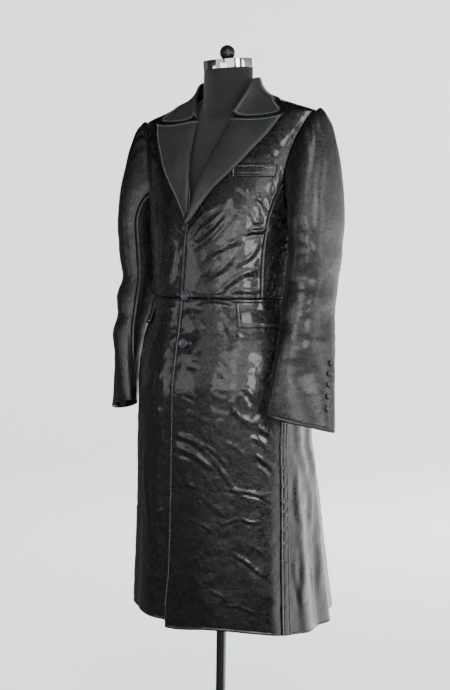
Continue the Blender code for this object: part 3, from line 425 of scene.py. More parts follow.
def wrapped(degrees):
    """The same angle, between -180 and 180."""
    return (degrees + 180) % 360 - 180


def bent(value, roundness=ROUNDNESS):
    """A sine or cosine pushed outwards, so that a ring is fuller than an ellipse."""
    return math.copysign(abs(value) ** (2 / roundness), value)


def read(rows, at):
    """The other columns of a table at a place in its first one, along smooth curves with no overshoot."""
    at = min(max(at, rows[0][0]), rows[-1][0])
    here = max(i for i in range(len(rows) - 1) if rows[i][0] <= at)
    span = rows[here + 1][0] - rows[here][0]
    low_weight, high_weight, first_weight, last_weight = hermite((at - rows[here][0]) / span)
    values = []
    for column in range(1, len(rows[0])):
        rise = []
        for i in (here - 1, here, here + 1):
            i = min(max(i, 0), len(rows) - 2)
            rise.append((rows[i + 1][column] - rows[i][column]) / (rows[i + 1][0] - rows[i][0]))
        first, last = (2 * a * b / (a + b) if a * b > 0 else 0.0 for a, b in zip(rise, rise[1:]))
        value = low_weight * rows[here][column] + high_weight * rows[here + 1][column]
        values.append(value + span * (first_weight * first + last_weight * last))
    return values


def fold_at(angle, height):
    """How far the folds stand out of the skirt at a place."""
    total = 0.0
    for centre, spread, depth, start in FOLDS:
        away = abs(wrapped(angle - centre)) / spread
        if away < 1.6 and height < start:
            total += depth * ease((start - height) / (start - HEM_LEVEL)) * math.exp(-(away**2) * 1.6)
    return total


def body_ring(angle, height):
    """A point of the coat's outer face with no lift: the angle runs from the centre front to the left."""
    half, front, back, middle = read(BODY, height)
    side, ahead = direction(angle)
    depth = front if ahead > 0 else back
    out = fold_at(angle, height)
    return Vector((half * bent(side) + out * side, middle - depth * bent(ahead) - out * ahead, height))


def body(angle, height, lift=0.0):
    """A point of the coat's body, lifted off the outer face along its normal."""
    point = body_ring(angle, height)
    if lift == 0.0:
        return point
    along = body_ring(angle + NORMAL_TURN, height) - body_ring(angle - NORMAL_TURN, height)
    low, high = max(height - NORMAL_RISE, BODY_LOW), min(height + NORMAL_RISE, BODY_HIGH)
    up = body_ring(angle, high) - body_ring(angle, low)
    return point + along.cross(up).normalized() * lift


def body_normal(angle, height):
    """The direction in which the coat's body faces at a place."""
    return (body(angle, height, 0.01) - body(angle, height)).normalized()


def angle_of(x, height):
    """The angle on the front at which the coat's body reaches this x."""
    share = min(abs(x) / read(BODY, height)[0], 1.0)
    return math.copysign(math.degrees(math.asin(share ** (ROUNDNESS / 2))), x)


def armhole(turn, lift=0.0):
    """Angle and height on the armhole's line: the turn runs from the shoulder tip to the front."""
    side, up = (bent(value, ARMHOLE_ROUNDNESS) for value in direction(turn))
    half_angle = ARMHOLE_HALF_ANGLE + math.degrees(lift / 0.2)
    return 90 - half_angle * side, ARMHOLE_MIDDLE + (ARMHOLE_HALF_HEIGHT + lift) * up


def underlap(angle, height, side):
    """The right front lies under the left one near the centre, and this is its lift there."""
    if side > 0 or abs(angle) > 90:
        return 0.0
    return -UNDERLAP * ease((body_ring(angle, height)[0] - LAP_START) / LAP_WIDTH)


def front_edge(height):
    """Angle of a front's free edge or roll line on its own side of the coat."""
    return -angle_of(read(FRONT_EDGE, height)[0], height)


def bodice_edge(rise):
    """The front's inner edge from the waist seam to the side of the neck."""
    height = mix(BODICE_FLOOR, NECKLINE, rise)
    return min(front_edge(height), 89.6), height


def seam_edge(seam, notch, gap):
    """A side body's edge along a seam, from the waist to the armhole."""

    def edge(v):
        height = mix(BODICE_FLOOR, armhole(notch, ARMHOLE_GAP)[1], v)
        return read(seam, height)[0] + gap, height

    return edge


def bodice_side(seam, notch, gap):
    """The edge towards the arm: up the seam, then round the armhole to the shoulder tip."""

    def edge(v):
        if v < ARMHOLE_START:
            height = mix(BODICE_FLOOR, armhole(notch)[1], v / ARMHOLE_START)
            return read(seam, height)[0] + gap, height
        goal = 0.0 if notch < 180 else 360.0
        angle, height = armhole(mix(notch, goal, (v - ARMHOLE_START) / (1 - ARMHOLE_START)), ARMHOLE_GAP)
        return angle, min(height, SHOULDER)

    return edge


def skirt_edge(spread):
    """An edge that stands this many degrees behind the front edge of the side seam's strip."""
    return lambda height: read(STRIP_EDGE, height)[0] + spread


def lapel_spot(u, v):
    """Angle and height on a lapel: u runs from the roll to the edge, v from the break to the gorge."""
    table = [(k / (len(LAPEL) - 1), *row) for k, row in enumerate(LAPEL)]
    roll_x, roll_height, edge_x, edge_height, bow = read(table, v)
    height = mix(roll_height, edge_height, u) + bow * 4 * u * (1 - u)
    return angle_of(mix(roll_x, edge_x, u), height), height


def sleeve_ring(turn, height, side, lift=0.0):
    """A point of the sleeve below its head: the turn runs from the outer side to the front."""
    x, y, long, wide, twist = read(SLEEVE, height)
    across, along = direction(twist)
    out, ahead = Vector((along, -across, 0)), Vector((-across, -along, 0))
    sine, cosine = direction(turn)
    slant = CUFF_SLANT * ease((CUFF + CUFF_RISE - height) / CUFF_RISE) * sine
    for middle, centre, rise, spread, depth in SLEEVE_FOLDS:
        away = ((height - middle) / rise) ** 2 + (wrapped(turn - centre) / spread) ** 2
        if away < 4:
            lift += depth * math.exp(-away * 1.4)
    point = Vector((x, y, height + slant)) + out * (wide + lift) * bent(cosine)
    point += ahead * (long + lift) * bent(sine)
    if side < 0:
        point += RIGHT_TUCK * ease((1.10 - height) / (1.10 - CUFF))
    return point


def sleeve_head(turn, t, side):
    """A point of the sleeve head: t runs from the armhole to the top of the plain sleeve."""
    angle, height = armhole(turn)
    start, end = body(angle, height, SLEEVE_SEAT), sleeve_ring(turn, HEAD, side)
    reach = (body(angle, height) - end).length
    low_weight, high_weight, first_weight, last_weight = hermite(t)
    point = start * low_weight + end * high_weight
    point += body_normal(angle, height) * reach * HEAD_FULLNESS * first_weight
    point += Vector((0, 0, -1)) * reach * HEAD_DROP * last_weight
    away = abs(wrapped(turn))
    if away < GATHERED:
        middle = body(90, ARMHOLE_MIDDLE).lerp(Vector((SLEEVE[-1][1], SLEEVE[-1][2], HEAD)), t)
        # The gathers fade towards the underarm, start below the seam and run out down the head
        near = ease((GATHERED - away) / 30) * ease(t / 0.10) * (1 - ease((t - 0.12) / 0.40))
        rope = 0.5 + 0.5 * direction(wrapped(turn) * GATHERS_ROUND)[1]
        point += (point - middle).normalized() * GATHER_DEPTH * near * (rope + 0.4)
    return point


def sleeve_point(turn, place, side):
    """A point of the sleeve: place 0 is the armhole, 1 the head's end and 2 the cuff."""
    if place < 0:
        # The first row is turned in through the armhole, as the seam's edge is
        return body(*armhole(turn, -0.0012), -0.0034)
    if place <= 1:
        return sleeve_head(turn, place, side)
    return sleeve_ring(turn, mix(HEAD, CUFF, place - 1.0), side)


def collar_section(place, fold_steps, leaf_steps):
    """Points of the collar's outer face at a place from the gorge, 0, to the centre back, 1."""
    table = [(k / (len(COLLAR) - 1), *row) for k, row in enumerate(COLLAR)]
    *ends, edge_angle, edge_height, bow = read(table, place)
    stand, fold = Vector(ends[:3]), Vector(ends[3:])
    edge = body(edge_angle, edge_height, WALL + SEAM)
    outward = Vector((edge[0] - fold[0], edge[1] - fold[1], 0)).normalized() * FOLD_RADIUS
    rise = (fold - stand).normalized() * FOLD_RADIUS
    centre = fold + outward - rise
    points = [stand.lerp(fold - rise, k / 8) for k in range(8)]
    for k in range(fold_steps):
        turn = math.pi * k / fold_steps
        points.append(centre - outward * math.cos(turn) + rise * math.sin(turn))
    start = centre + outward
    # The leaf leaves the fold steeply and lies down near its edge
    pull = Vector([mix(start[k], edge[k], share) for k, share in enumerate((0.22, 0.22, 0.72))])
    for t in leaf_steps:
        point = start * (1 - t) ** 2 + pull * 2 * t * (1 - t) + edge * t * t
        point[2] += bow * 4 * t * (1 - t)
        points.append(point)
    return points


def form_radius(angle, height):
    """How far the form reaches from its axis in one direction: its bust or its neck, whichever is more."""
    if height > FORM[-1][0]:
        return NECK_RADIUS
    half, front, back = read(FORM, height)
    side, ahead = math.sin(angle), math.cos(angle)
    bust = (abs(side) / half) ** ROUNDNESS + (abs(ahead) / (front if ahead > 0 else back)) ** ROUNDNESS
    bust = bust ** (-1 / ROUNDNESS)
    if height < NECK_START:
        return bust
    neck, sharpness = NECK_RADIUS * ease((height - NECK_START) / NECK_BLEND), 14
    return (bust**sharpness + neck**sharpness) ** (1 / sharpness)


def stations(length, step):
    """Shares from 0 to 1 along a piece of this length, closer together near its two edges."""
    near = [d / length for d in NEAR_EDGE if d < length * 0.4]
    inner = near[-1] if near else 0.0
    count = max(2, round((1 - 2 * inner) * length / step))
    middle = [inner + (1 - 2 * inner) * k / count for k in range(1, count)]
    return [0.0] + near + middle + [1 - share for share in reversed(near)] + [1.0]


def shared_patch(left, right, bottom, top, us, vs):
    """Angles and heights between four edges, at the given shares, with the shares kept."""
    grid = []
    corner = [[bottom(0)[k], bottom(1)[k], top(0)[k], top(1)[k]] for k in (0, 1)]
    for v in vs:
        first, last = left(v), right(v)
        line = []
        for u in us:
            low, high = bottom(u), top(u)
            spot = []
            for k, (a, b, c, d) in enumerate(corner):
                value = mix(first[k], last[k], u) + mix(low[k], high[k], v)
                spot.append(value - mix(mix(a, b, u), mix(c, d, u), v))
            line.append((u, v, *spot))
        grid.append(line)
    return grid


def plain_grid(us, vs, angles, heights):
    """A grid between two angles and two heights."""
    return [[(u, v, mix(*angles, u), mix(*heights, v)) for u in us] for v in vs]


def hanging_grid(first, last, us, side, top, floor, drop, shares):
    """Rows between two edges: level ones down to a height, then ones that turn into the hem's line."""
    heights = [top - near for near in (0.0,) + NEAR_EDGE]
    while heights[-1] > floor:
        heights.append(heights[-1] - drop)
    grid = [[(u, 0, mix(first(height), last(height), u), height) for u in us] for height in heights]
    for v in shares:
        line = []
        for u in us:
            hem = read(HEM, mix(first(HEM_LEVEL), last(HEM_LEVEL), u) * side)[0]
            height = mix(heights[-1], hem, v)
            line.append((u, v, mix(first(height), last(height), u), height))
        grid.append(line)
    return grid


def chart_rows(grid, side, lift_at=lambda u, v: 0.0):
    """Points of a grid of angles and heights on the body, and the same grid with its side's sign."""
    charts = [[(angle * side, height) for u, v, angle, height in line] for line in grid]
    rows = []
    for line, chart in zip(grid, charts):
        rows.append([body(*at, lift_at(*spot[:2]) + underlap(*at, side)) for spot, at in zip(line, chart)])
    return rows, charts


def crease_at(creases, across, height, metres_per_degree):
    """How far the creases near a place stand out of the leather there."""
    total = 0.0
    for a0, h0, a1, h1, width, depth in creases:
        reach = 4 * width
        if height < min(h0, h1) - reach or height > max(h0, h1) + reach:
            continue
        dx, dh = (a1 - a0) * metres_per_degree, h1 - h0
        px, ph = (across - a0) * metres_per_degree, height - h0
        # It runs 15 percent past both ends, fading, bows by a twentieth of its length to either side,
        # and has a softer furrow below it
        length = math.hypot(dx, dh)
        along = (px * dx + ph * dh) / length**2
        away = (px * dh - ph * dx) / length + math.sin(math.pi * along * 1.5 + a0) * length * 0.05
        if not -0.15 < along < 1.15 or abs(away) > reach:
            continue
        fade = ease((along + 0.15) / 0.45) * ease((1.15 - along) / 0.55)
        total += depth * fade * (bell(away / width) - 0.6 * bell((away - 1.7 * width) / width))
    return total


def uneven(point, amount):
    """Slow unevenness of a hide that nothing pulls tight."""
    return amount * (
        noise.noise(point * 19.0) + 0.55 * noise.noise(point * 43.0 + Vector((7, 3, 5)))
        + 0.30 * noise.noise(point * 96.0 + Vector((1, 9, 4)))
    )


def edge_lift(kind, distance, along):
    """The edge's own form: a turned edge with its stitch groove, or a seam that is drawn in."""
    # The rounded edge itself, the swell behind it, then the groove or the pucker of the stitching
    if kind == "free":
        lift = -0.0009 * bell(distance / 0.0012) + 0.0006 * bell((distance - 0.003) / 0.002)
        return lift - 0.0009 * bell((distance - STITCH_INSET) / 0.0011)
    if kind == "seam" and distance < 0.03:
        lift = -0.0014 * bell(distance / 0.0018) + 0.0006 * bell((distance - 0.004) / 0.002)
        pucker = noise.noise(Vector((along * 70.0, 3.7, 1.3)))
        return lift + 0.0007 * pucker * bell(distance / 0.011)
    return 0.0


def runs(path):
    """Distance of each point of a path from its start."""
    return list(accumulate(((b - a).length for a, b in zip(path, path[1:])), initial=0.0))


def normals_of(rows, inside):
    """Unit normals of a grid of points, turned away from the inside."""
    last_row, last = len(rows) - 1, len(rows[0]) - 1
    normals = []
    for j, row in enumerate(rows):
        below, above = rows[max(j - 1, 0)], rows[min(j + 1, last_row)]
        normals.append([
            (row[min(i + 1, last)] - row[max(i - 1, 0)]).cross(above[i] - below[i]).normalized()
            for i in range(last + 1)
        ])
    j, i = last_row // 2, last // 2
    if normals[j][i].dot(rows[j][i] - inside) < 0:
        normals = [[-normal for normal in line] for line in normals]
    return normals


def join(obj, node, body="root"):
    """The piece rides on the coat's one body and stands for its solid."""
    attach(obj, body)
    if node:
        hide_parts(node)
    return obj


def add_object(name, mesh, material):
    obj = bpy.data.objects.new(name, mesh)
    bpy.context.scene.collection.objects.link(obj)
    mesh.materials.append(material)
    return obj


def leather(node, rows, inside, edges, waves, settings, creases=(), charts=None, scale=0.003,
            cloth="leather", hide=""):
    """A thin shell of leather on a grid of points, with its creases, edges and flat cut."""
    across = [runs(row) for row in rows]
    along = list(zip(*(runs(column) for column in zip(*rows))))
    normals = normals_of(rows, inside)
    creases = [(a, h / 1000, b, k / 1000, wide / 1000, deep / 1000) for a, h, b, k, wide, deep in creases]
    points = []
    for j, row in enumerate(rows):
        for i, point in enumerate(row):
            here = across[j][i], along[j][i]
            near = (here[0], across[j][-1] - here[0], here[1], along[-1][i] - here[1])
            lift = sum(map(edge_lift, edges, near, (here[1], here[1], here[0], here[0])))
            calm = ease(min(near) / CALM_EDGE)
            if charts:
                lift += calm * crease_at(creases, *charts[j][i], scale) * settings.crease_depth
            lift += (0.25 + 0.75 * calm) * uneven(point, waves * settings.crease_depth)
            points.append(point + normals[j][i] * lift)
    columns = len(rows[0])
    starts = [j * columns + i for j in range(len(rows) - 1) for i in range(columns - 1)]
    faces = [(k, k + 1, k + columns + 1, k + columns) for k in starts]
    turn = (points[columns + 1] - points[0]).cross(points[columns] - points[1])
    if turn.dot(normals[0][0]) < 0:
        faces = [face[::-1] for face in faces]
    mesh = bpy.data.meshes.new("leather_" + node)
    mesh.from_pydata(points, [], faces)
    layer = mesh.uv_layers.new(name="flat")
    for loop in mesh.loops:
        j, i = divmod(loop.vertex_index, columns)
        layer.data[loop.index].uv = (across[j][i], along[j][i])
    mesh.shade_smooth()
    obj = add_object("leather_" + node, mesh, hides(hide or cloth))
    thick = obj.modifiers.new("hide", "SOLIDIFY")
    thick.thickness, thick.offset, thick.use_even_offset = HIDE, -1.0, True
    join(obj, node)
    return points, normals, columns


def finished(source, name, corner=None):
    """The mesh that was being built, smooth but for corners sharper than this many degrees."""
    data = bpy.data.meshes.new(name)
    source.to_mesh(data)
    source.free()
    data.shade_smooth()
    if corner:
        data.set_sharp_from_angle(angle=math.radians(corner))
    return data


def bridge(mesh, rings):
    """Faces from each ring of points to the next: a ring of one point closes in a fan."""
    for first, second in zip(rings, rings[1:]):
        sides = max(len(first), len(second))
        for k in range(sides):
            corners = [first[k % len(first)], second[k % len(second)]]
            after = (k + 1) % sides
            corners += [second[after % len(second)], first[after % len(first)]]
            mesh.faces.new(list(dict.fromkeys(corners)))


def circles(mesh, profile, sides):
    """Rings of points round Z from radius and height pairs."""
    rings = []
    for radius, height in profile:
        turns = [2 * math.pi * k / sides for k in range(sides if radius else 1)]
        rings.append([mesh.verts.new((radius * math.cos(t), radius * math.sin(t), height)) for t in turns])
    return rings


def arc(radius, centre_radius, centre_height, start, end, steps, first=0):
    """Radius and height pairs along an arc: its turns run from the top to the outside."""
    turns = [mix(start, end, k / steps) for k in range(first, steps + 1)]
    return [(centre_radius + radius * math.sin(t), centre_height + radius * math.cos(t)) for t in turns]


def lathe(name, profile, sides, material, place=None, slot_name=None, node=None):
    """A turned solid about Z from radius and height pairs, smooth but for its sharp corners."""
    mesh = bmesh.new()
    rings = circles(mesh, profile, sides)
    bridge(mesh, rings)
    for ring in (rings[0], rings[-1]):
        if len(ring) > 1:
            mesh.faces.new(ring)
    bmesh.ops.recalc_face_normals(mesh, faces=mesh.faces[:])
    if place is not None:
        mesh.transform(place)
    obj = add_object(name, finished(mesh, name, CORNER), material)
    return join(obj, node) if slot_name else obj


def stitch_row(path, normals, name, material):
    """A run of machine stitches along a line of points, as small rounded bars in one mesh."""
    mesh = bmesh.new()
    k, start, lengths = 0, STITCH_PITCH / 2, runs(path)
    while start + STITCH_LENGTH < lengths[-1]:
        ends = []
        for at in (start, start + STITCH_LENGTH / 2, start + STITCH_LENGTH):
            while lengths[k + 1] < at:
                k += 1
            share = (at - lengths[k]) / max(lengths[k + 1] - lengths[k], 1e-9)
            up = normals[k].lerp(normals[k + 1], share).normalized()
            ends.append((path[k].lerp(path[k + 1], share), up))
        (a, _), (m, up), (b, _) = ends
        side = (b - a).cross(up).normalized() * STITCH_WIDTH / 2
        quad = [mesh.verts.new(p) for p in (a, m - side, b, m + side)]
        crown = mesh.verts.new(m + up * STITCH_WIDTH * 0.55)
        for i in range(4):
            mesh.faces.new((quad[i], quad[(i + 1) % 4], crown))
        mesh.faces.new(quad[::-1])
        start += STITCH_PITCH
        k = max(k - 2, 0)
    join(add_object(name, finished(mesh, name), material), None)


def inset_path(points, normals, columns, edge, inset):
    """A line at this distance inside an edge: 0 first column, 1 last column, 2 first row, 3 last row."""
    lines = [range(k, k + columns) for k in range(0, len(points), columns)]
    if edge > 1:
        lines = list(zip(*lines))
    path, ups = [], []
    for line in lines:
        line = line[::-1] if edge % 2 else line
        run = 0.0
        for a, b in zip(line, line[1:]):
            step = (points[b] - points[a]).length
            if run + step >= inset:
                ups.append(normals[a // columns][a % columns])
                path.append(points[a].lerp(points[b], (inset - run) / step) + ups[-1] * 0.0001)
                break
            run += step
    return path, ups


def topstitch(made, edges, name):
    """Stitches along the free edges of a piece of leather, in its groove."""
    for edge in edges:
        path, ups = inset_path(*made, edge, STITCH_INSET)
        if len(path) > 2:
            stitch_row(path, ups, "%s_%d" % (name, edge), thread_material())


def facing(place, normal):
    """A placement that turns +Z to a surface's normal."""
    placed = Vector((0, 0, 1)).rotation_difference(normal).to_matrix().to_4x4()
    placed.translation = place
    return placed


def linear(code):
    """A colour from its sRGB hex code, turned to linear light."""
    values = [int(code[k : k + 2], 16) / 255 for k in (1, 3, 5)]
    return tuple(c / 12.92 if c < 0.04045 else ((c + 0.055) / 1.055) ** 2.4 for c in values)


def opaque(colour):
    """A colour with its alpha: an sRGB hex code, or a colour property, which Blender keeps linear."""
    return (*(linear(colour) if isinstance(colour, str) else colour), 1)


def add(tree, kind, inputs=(), **settings):
    """Adds one shader node: its inputs take numbers, colours or other nodes' outputs."""
    node = tree.nodes.new("ShaderNode" + kind)
    for key, value in settings.items():
        setattr(node, key, value)
    for key, value in dict(inputs).items():
        if isinstance(value, bpy.types.NodeSocket):
            tree.links.new(value, node.inputs[key])
        else:
            node.inputs[key].default_value = value
    return node


def maths(tree, operation, first, second=0.5):
    """The result of one sum, whose terms are numbers or other nodes' outputs."""
    return add(tree, "Math", {0: first, 1: second}, operation=operation).outputs[0]


def field(tree, place, scale, detail=2.0, roughness=0.5, distortion=0.0):
    """Noise: its scale is in waves to a metre."""
    inputs = {"Vector": place, "Scale": scale, "Detail": detail, "Roughness": roughness}
    return add(tree, "TexNoise", {**inputs, "Distortion": distortion})


def ramp(tree, value, start, end, low, high, kind="LINEAR"):
    """A value between start and end, turned into one between low and high."""
    inputs = {"Value": value, "From Min": start, "From Max": end, "To Min": low, "To Max": high}
    return add(tree, "MapRange", inputs, interpolation_type=kind).outputs[0]


def blend(tree, share, dark, light):
    """A colour between two others."""
    return add(tree, "Mix", {0: share, 6: opaque(dark), 7: opaque(light)}, data_type="RGBA").outputs[2]


def bumps(tree, height, strength, distance):
    """A normal that a height field tilts: the distance is in metres."""
    return add(tree, "Bump", {"Height": height, "Strength": strength, "Distance": distance}).outputs[0]


def new_material(name):
    """An empty material, its node tree, and the place of each point on the piece."""
    material = bpy.data.materials.new(name)
    material.use_nodes = True
    material.node_tree.nodes.clear()
    return material, material.node_tree, add(material.node_tree, "TexCoord").outputs["Object"]


def shade(material, colour, roughness, normal=None, inputs=()):
    """Gives a material its shader."""
    inputs = {"Base Color": colour, "Roughness": roughness, **dict(inputs)}
    if normal is not None:
        inputs["Normal"] = normal
    shader = add(material.node_tree, "BsdfPrincipled", inputs)
    add(material.node_tree, "OutputMaterial", {"Surface": shader.outputs[0]})
    return material


def hide_height(tree, position, crinkle):
    """Height of glazed hide in millimetres: slow waves, crinkle lines and fine grain."""
    warp = field(tree, position, 30.0, 3.0, 0.6).outputs["Color"]
    bend = add(tree, "VectorMath", {0: warp, "Scale": 0.026}, operation="SCALE").outputs[0]
    place = add(tree, "VectorMath", {0: position, 1: bend}, operation="ADD").outputs[0]
    waves = field(tree, place, 52.0, 8.0, 0.60, 0.7).outputs["Fac"]
    total = maths(tree, "MULTIPLY", waves, 1.5 * crinkle)
    # Crinkle lines about 15 mm and 5 mm apart, where the hide has folded on itself
    for scale, width, depth in ((33.0, 0.055, 0.44), (92.0, 0.080, 0.26)):
        level = field(tree, place, scale, 4.0, 0.55, 1.2).outputs["Fac"]
        away = maths(tree, "ABSOLUTE", maths(tree, "SUBTRACT", level, 0.5))
        total = maths(tree, "ADD", total, ramp(tree, away, 0.0, width, 0.0, depth * crinkle, "SMOOTHSTEP"))
    # Pores about 1.2 mm apart, drawn twice as coarse to show
    pores = maths(tree, "MULTIPLY", field(tree, position, 420.0).outputs["Fac"], 0.10)
    return maths(tree, "ADD", total, pores), waves


def hide_material(name, dark, light, roughness, crinkle, coat, coat_roughness):
    """Dyed cowhide with a clear finish over it: waves and crinkle break up what it mirrors."""
    material, tree, position = new_material(name)
    height, waves = hide_height(tree, position, crinkle)
    # The skirt's own weight pulls its lower half flatter
    rise = add(tree, "SeparateXYZ", {"Vector": position}).outputs["Z"]
    normal = bumps(tree, height, ramp(tree, rise, 0.45, 0.90, 0.40, 1.0), 0.001)
    tint = blend(tree, field(tree, position, 9.0, 4.0, 0.6).outputs["Fac"], dark, light)
    gloss = ramp(tree, waves, 0.30, 0.70, roughness - 0.07, roughness + 0.11)
    finish = {"IOR": 1.5, "Coat Weight": coat, "Coat Roughness": coat_roughness, "Coat IOR": 1.5}
    return shade(material, tint, gloss, normal, finish)


HIDES = {}


def hides(slot_name):
    """The coat's three finishes of hide. The first is plated smooth: black, with a wet, broken gloss."""
    if not HIDES:
        coat = bpy.context.scene.frock_coat
        glazed, worn = coat.hide_colour, coat.worn_colour
        # The sleeves' hide is handled soft, so its gloss spreads into an even grey; the lapels' is satin,
        # with a painted sheen: grey over the coat's black hide
        for key, name, dark, roughness, crinkle, finish in (
            ("leather", "glazed_cowhide", glazed, coat.gloss, 1.0, (0.70, 0.10)),
            ("sleeve", "softened_cowhide", glazed, coat.gloss + 0.13, 1.2, (0.50, 0.26)),
            ("lapel_leather", "satin_cowhide_painted_sheen", coat.lapel_sheen_colour, 0.42, 0.30, (0.0, 0.30)),
        ):
            HIDES[key] = hide_material(name, dark, worn, roughness, crinkle, *finish)
    return HIDES[slot_name]


# The topstitching's light grey is a painted highlight along the edges, over black thread
def thread_material(name="bonded_thread_painted_highlight", colour="#8c8f94"):
    """Twisted thread: its faint shine shows each stitch. The bonded one is the topstitching: black thread,
    whose light grey colour is a painted highlight.
    """
    if name in bpy.data.materials:
        return bpy.data.materials[name]
    material, tree, position = new_material(name)
    # Ply twist 0.5 mm apart, drawn 1 mm apart to show
    twist = add(tree, "TexWave", {"Vector": position, "Scale": 160.0}, bands_direction="DIAGONAL")
    normal = bumps(tree, twist.outputs["Fac"], 0.4, 0.0001)
    return shade(material, opaque(colour), 0.42, normal, {"Sheen Weight": 0.2})


def twist_material():
    """Silk buttonhole twist, black: it gives the holes and the buttons' sewing a dull cord."""
    return thread_material("silk_buttonhole_twist", "#242528")


def horn_material():
    """Polyester resin buttons, cast and polished: near black, with faint cloudy streaks like horn."""
    if "polished_resin" in bpy.data.materials:
        return bpy.data.materials["polished_resin"]
    material, tree, position = new_material("polished_resin")
    streaks = field(tree, position, 240.0, 3.0, distortion=2.0).outputs["Fac"]
    return shade(material, blend(tree, streaks, "#1a1a1c", "#38383b"), 0.24, None, {"IOR": 1.55})


def jersey_material():
    """Cotton jersey pulled over the bust: matt black with a fine knit rib and a soft nap at its edges."""
    material, tree, position = new_material("cotton_jersey")
    # Wales 1.1 mm apart, drawn 2.2 mm apart to show
    place = add(tree, "SeparateXYZ", {"Vector": position}).outputs
    wales = maths(tree, "MULTIPLY", maths(tree, "ARCTAN2", place["X"], place["Y"]), 150.0)
    courses = maths(tree, "MULTIPLY", place["Z"], 2600.0)
    knit = maths(tree, "MULTIPLY", maths(tree, "SINE", wales), maths(tree, "SINE", courses))
    lint = field(tree, position, 120.0, 4.0).outputs["Fac"]
    nap = {"Sheen Weight": 0.08, "Sheen Roughness": 0.5}
    return shade(material, blend(tree, lint, "#08090b", "#0e1013"), 0.88, bumps(tree, knit, 0.5, 0.0003), nap)


def metal_material(name, colour, roughness, spread, marks):
    """Bare metal, bright where it mirrors: its fine streaks stretch the highlight a little."""
    material, tree, position = new_material(name)
    placed = add(tree, "Mapping", {"Vector": position, "Scale": (1.0, 1.0, marks)}).outputs[0]
    streaks = field(tree, placed, 60.0, 3.0).outputs["Fac"]
    gloss = ramp(tree, streaks, 0.0, 1.0, roughness, roughness + spread)
    return shade(material, opaque(colour), gloss, None, {"Metallic": 1.0})


def coated_material(name, dark, light, roughness, scale, depth):
    """Paint or moulded plastic: one colour, and a fine skin like orange peel that softens its shine."""
    material, tree, position = new_material(name)
    skin = field(tree, position, scale).outputs["Fac"]
    return shade(material, blend(tree, skin, dark, light), roughness, bumps(tree, skin, 0.5, depth))


def colour_property(name, description, code):
    return FloatVectorProperty(
        name=name, description=description, default=linear(code), size=3, subtype="COLOR", min=0.0, max=1.0
    )


class FrockCoatSettings(bpy.types.PropertyGroup):
    crease_depth: FloatProperty(
        name="Crease depth", description="Depth of every crease, as a share of the hand-placed one",
        default=1.0, min=0.0, max=2.0, subtype="FACTOR",
    )
    mesh_step: FloatProperty(
        name="Mesh step", description="Distance between points of the leather's mesh",
        default=0.0042, min=0.002, max=0.02, unit="LENGTH",
    )
    gloss: FloatProperty(
        name="Roughness", description="Roughness of the glazed hide", default=0.25, min=0.05, max=0.9,
        subtype="FACTOR",
    )
    hide_colour: colour_property("Hide", "Colour of the glazed hide", "#050506")
    worn_colour: colour_property("Worn hide", "Colour where the hide is paler", "#0c0d0e")
    # The lapels and collar are the coat's black hide: their grey colour is a painted sheen, standing in for
    # the light they take from above
    lapel_sheen_colour: colour_property("Lapels", "Colour of the plainer hide of the lapels and collar", "#2b2c2c")


class CoatStageSettings(bpy.types.PropertyGroup):
    paper_colour: colour_property("Paper", "Colour of the paper sweep", "#f2f3f4")
    key_power: FloatProperty(
        name="Key light", description="Power that the soft panels share", default=70.0, min=0.0, unit="POWER"
    )
    camera_height: FloatProperty(
        name="Camera height", description="Height of the camera", default=1.12, unit="LENGTH"
    )
    camera_distance: FloatProperty(
        name="Camera distance", description="Distance from the pole to the camera", default=2.5, unit="LENGTH"
    )


class COAT_OT_bodice(bpy.types.Operator):
    """Fronts, side bodies and backs of the bodice"""

    bl_idname = "coat.bodice"
    bl_label = "Bodice"

    def execute(self, context):
        coat = context.scene.frock_coat
        step = coat.mesh_step
        front_arm = bodice_side(FRONT_SEAM, FRONT_NOTCH, -SEAM_ANGLE)
        back_arm = bodice_side(BACK_SEAM, BACK_NOTCH, SEAM_ANGLE)
        low, high, tip = bodice_edge(0)[0], front_arm(0)[0], front_arm(1)[1]
        front = shared_patch(
            bodice_edge, front_arm,
            lambda u: (mix(low, high, u), BODICE_FLOOR), lambda u: (SHOULDER_FRONT, mix(NECKLINE, tip, u)),
            stations(0.24, step), stations(0.46, step),
        )

        def back_top(u):
            if u < NECK_SHARE:
                return mix(CENTRE_BACK, 96.0, u / NECK_SHARE), NECKLINE
            return SHOULDER_BACK, mix(NECKLINE, back_arm(1)[1], (u - NECK_SHARE) / (1 - NECK_SHARE))

        back = shared_patch(
            lambda v: (CENTRE_BACK, mix(BODICE_FLOOR, NECKLINE, v)), back_arm,
            lambda u: (mix(CENTRE_BACK, back_arm(0)[0], u), BODICE_FLOOR), back_top,
            stations(0.22, step * 1.15), stations(0.44, step * 1.15),
        )
        ahead = seam_edge(FRONT_SEAM, FRONT_NOTCH, SEAM_ANGLE)
        behind = seam_edge(BACK_SEAM, BACK_NOTCH, -SEAM_ANGLE)
        middle = shared_patch(
            ahead, behind,
            lambda u: (mix(ahead(0)[0], behind(0)[0], u), BODICE_FLOOR),
            lambda u: armhole(mix(FRONT_NOTCH, BACK_NOTCH, u), ARMHOLE_GAP),
            stations(0.19, step * 1.2), stations(0.19, step * 1.2),
        )
        for side, word in SIDES:
            for name, grid, edge, creases, waves in (
                ("front_", front, "free", BODICE_CREASES, 0.0010),
                ("back_", back, "seam", BACK_CREASES, 0.0011),
                ("side_", middle, "seam", BODICE_CREASES, 0.0010),
            ):
                rows, charts = chart_rows(grid, side)
                leather(name + word, rows, INSIDE_BODICE, (edge, "seam", "seam", "seam"), waves, coat,
                        creases, charts, BODICE_SCALE)
        return {"FINISHED"}


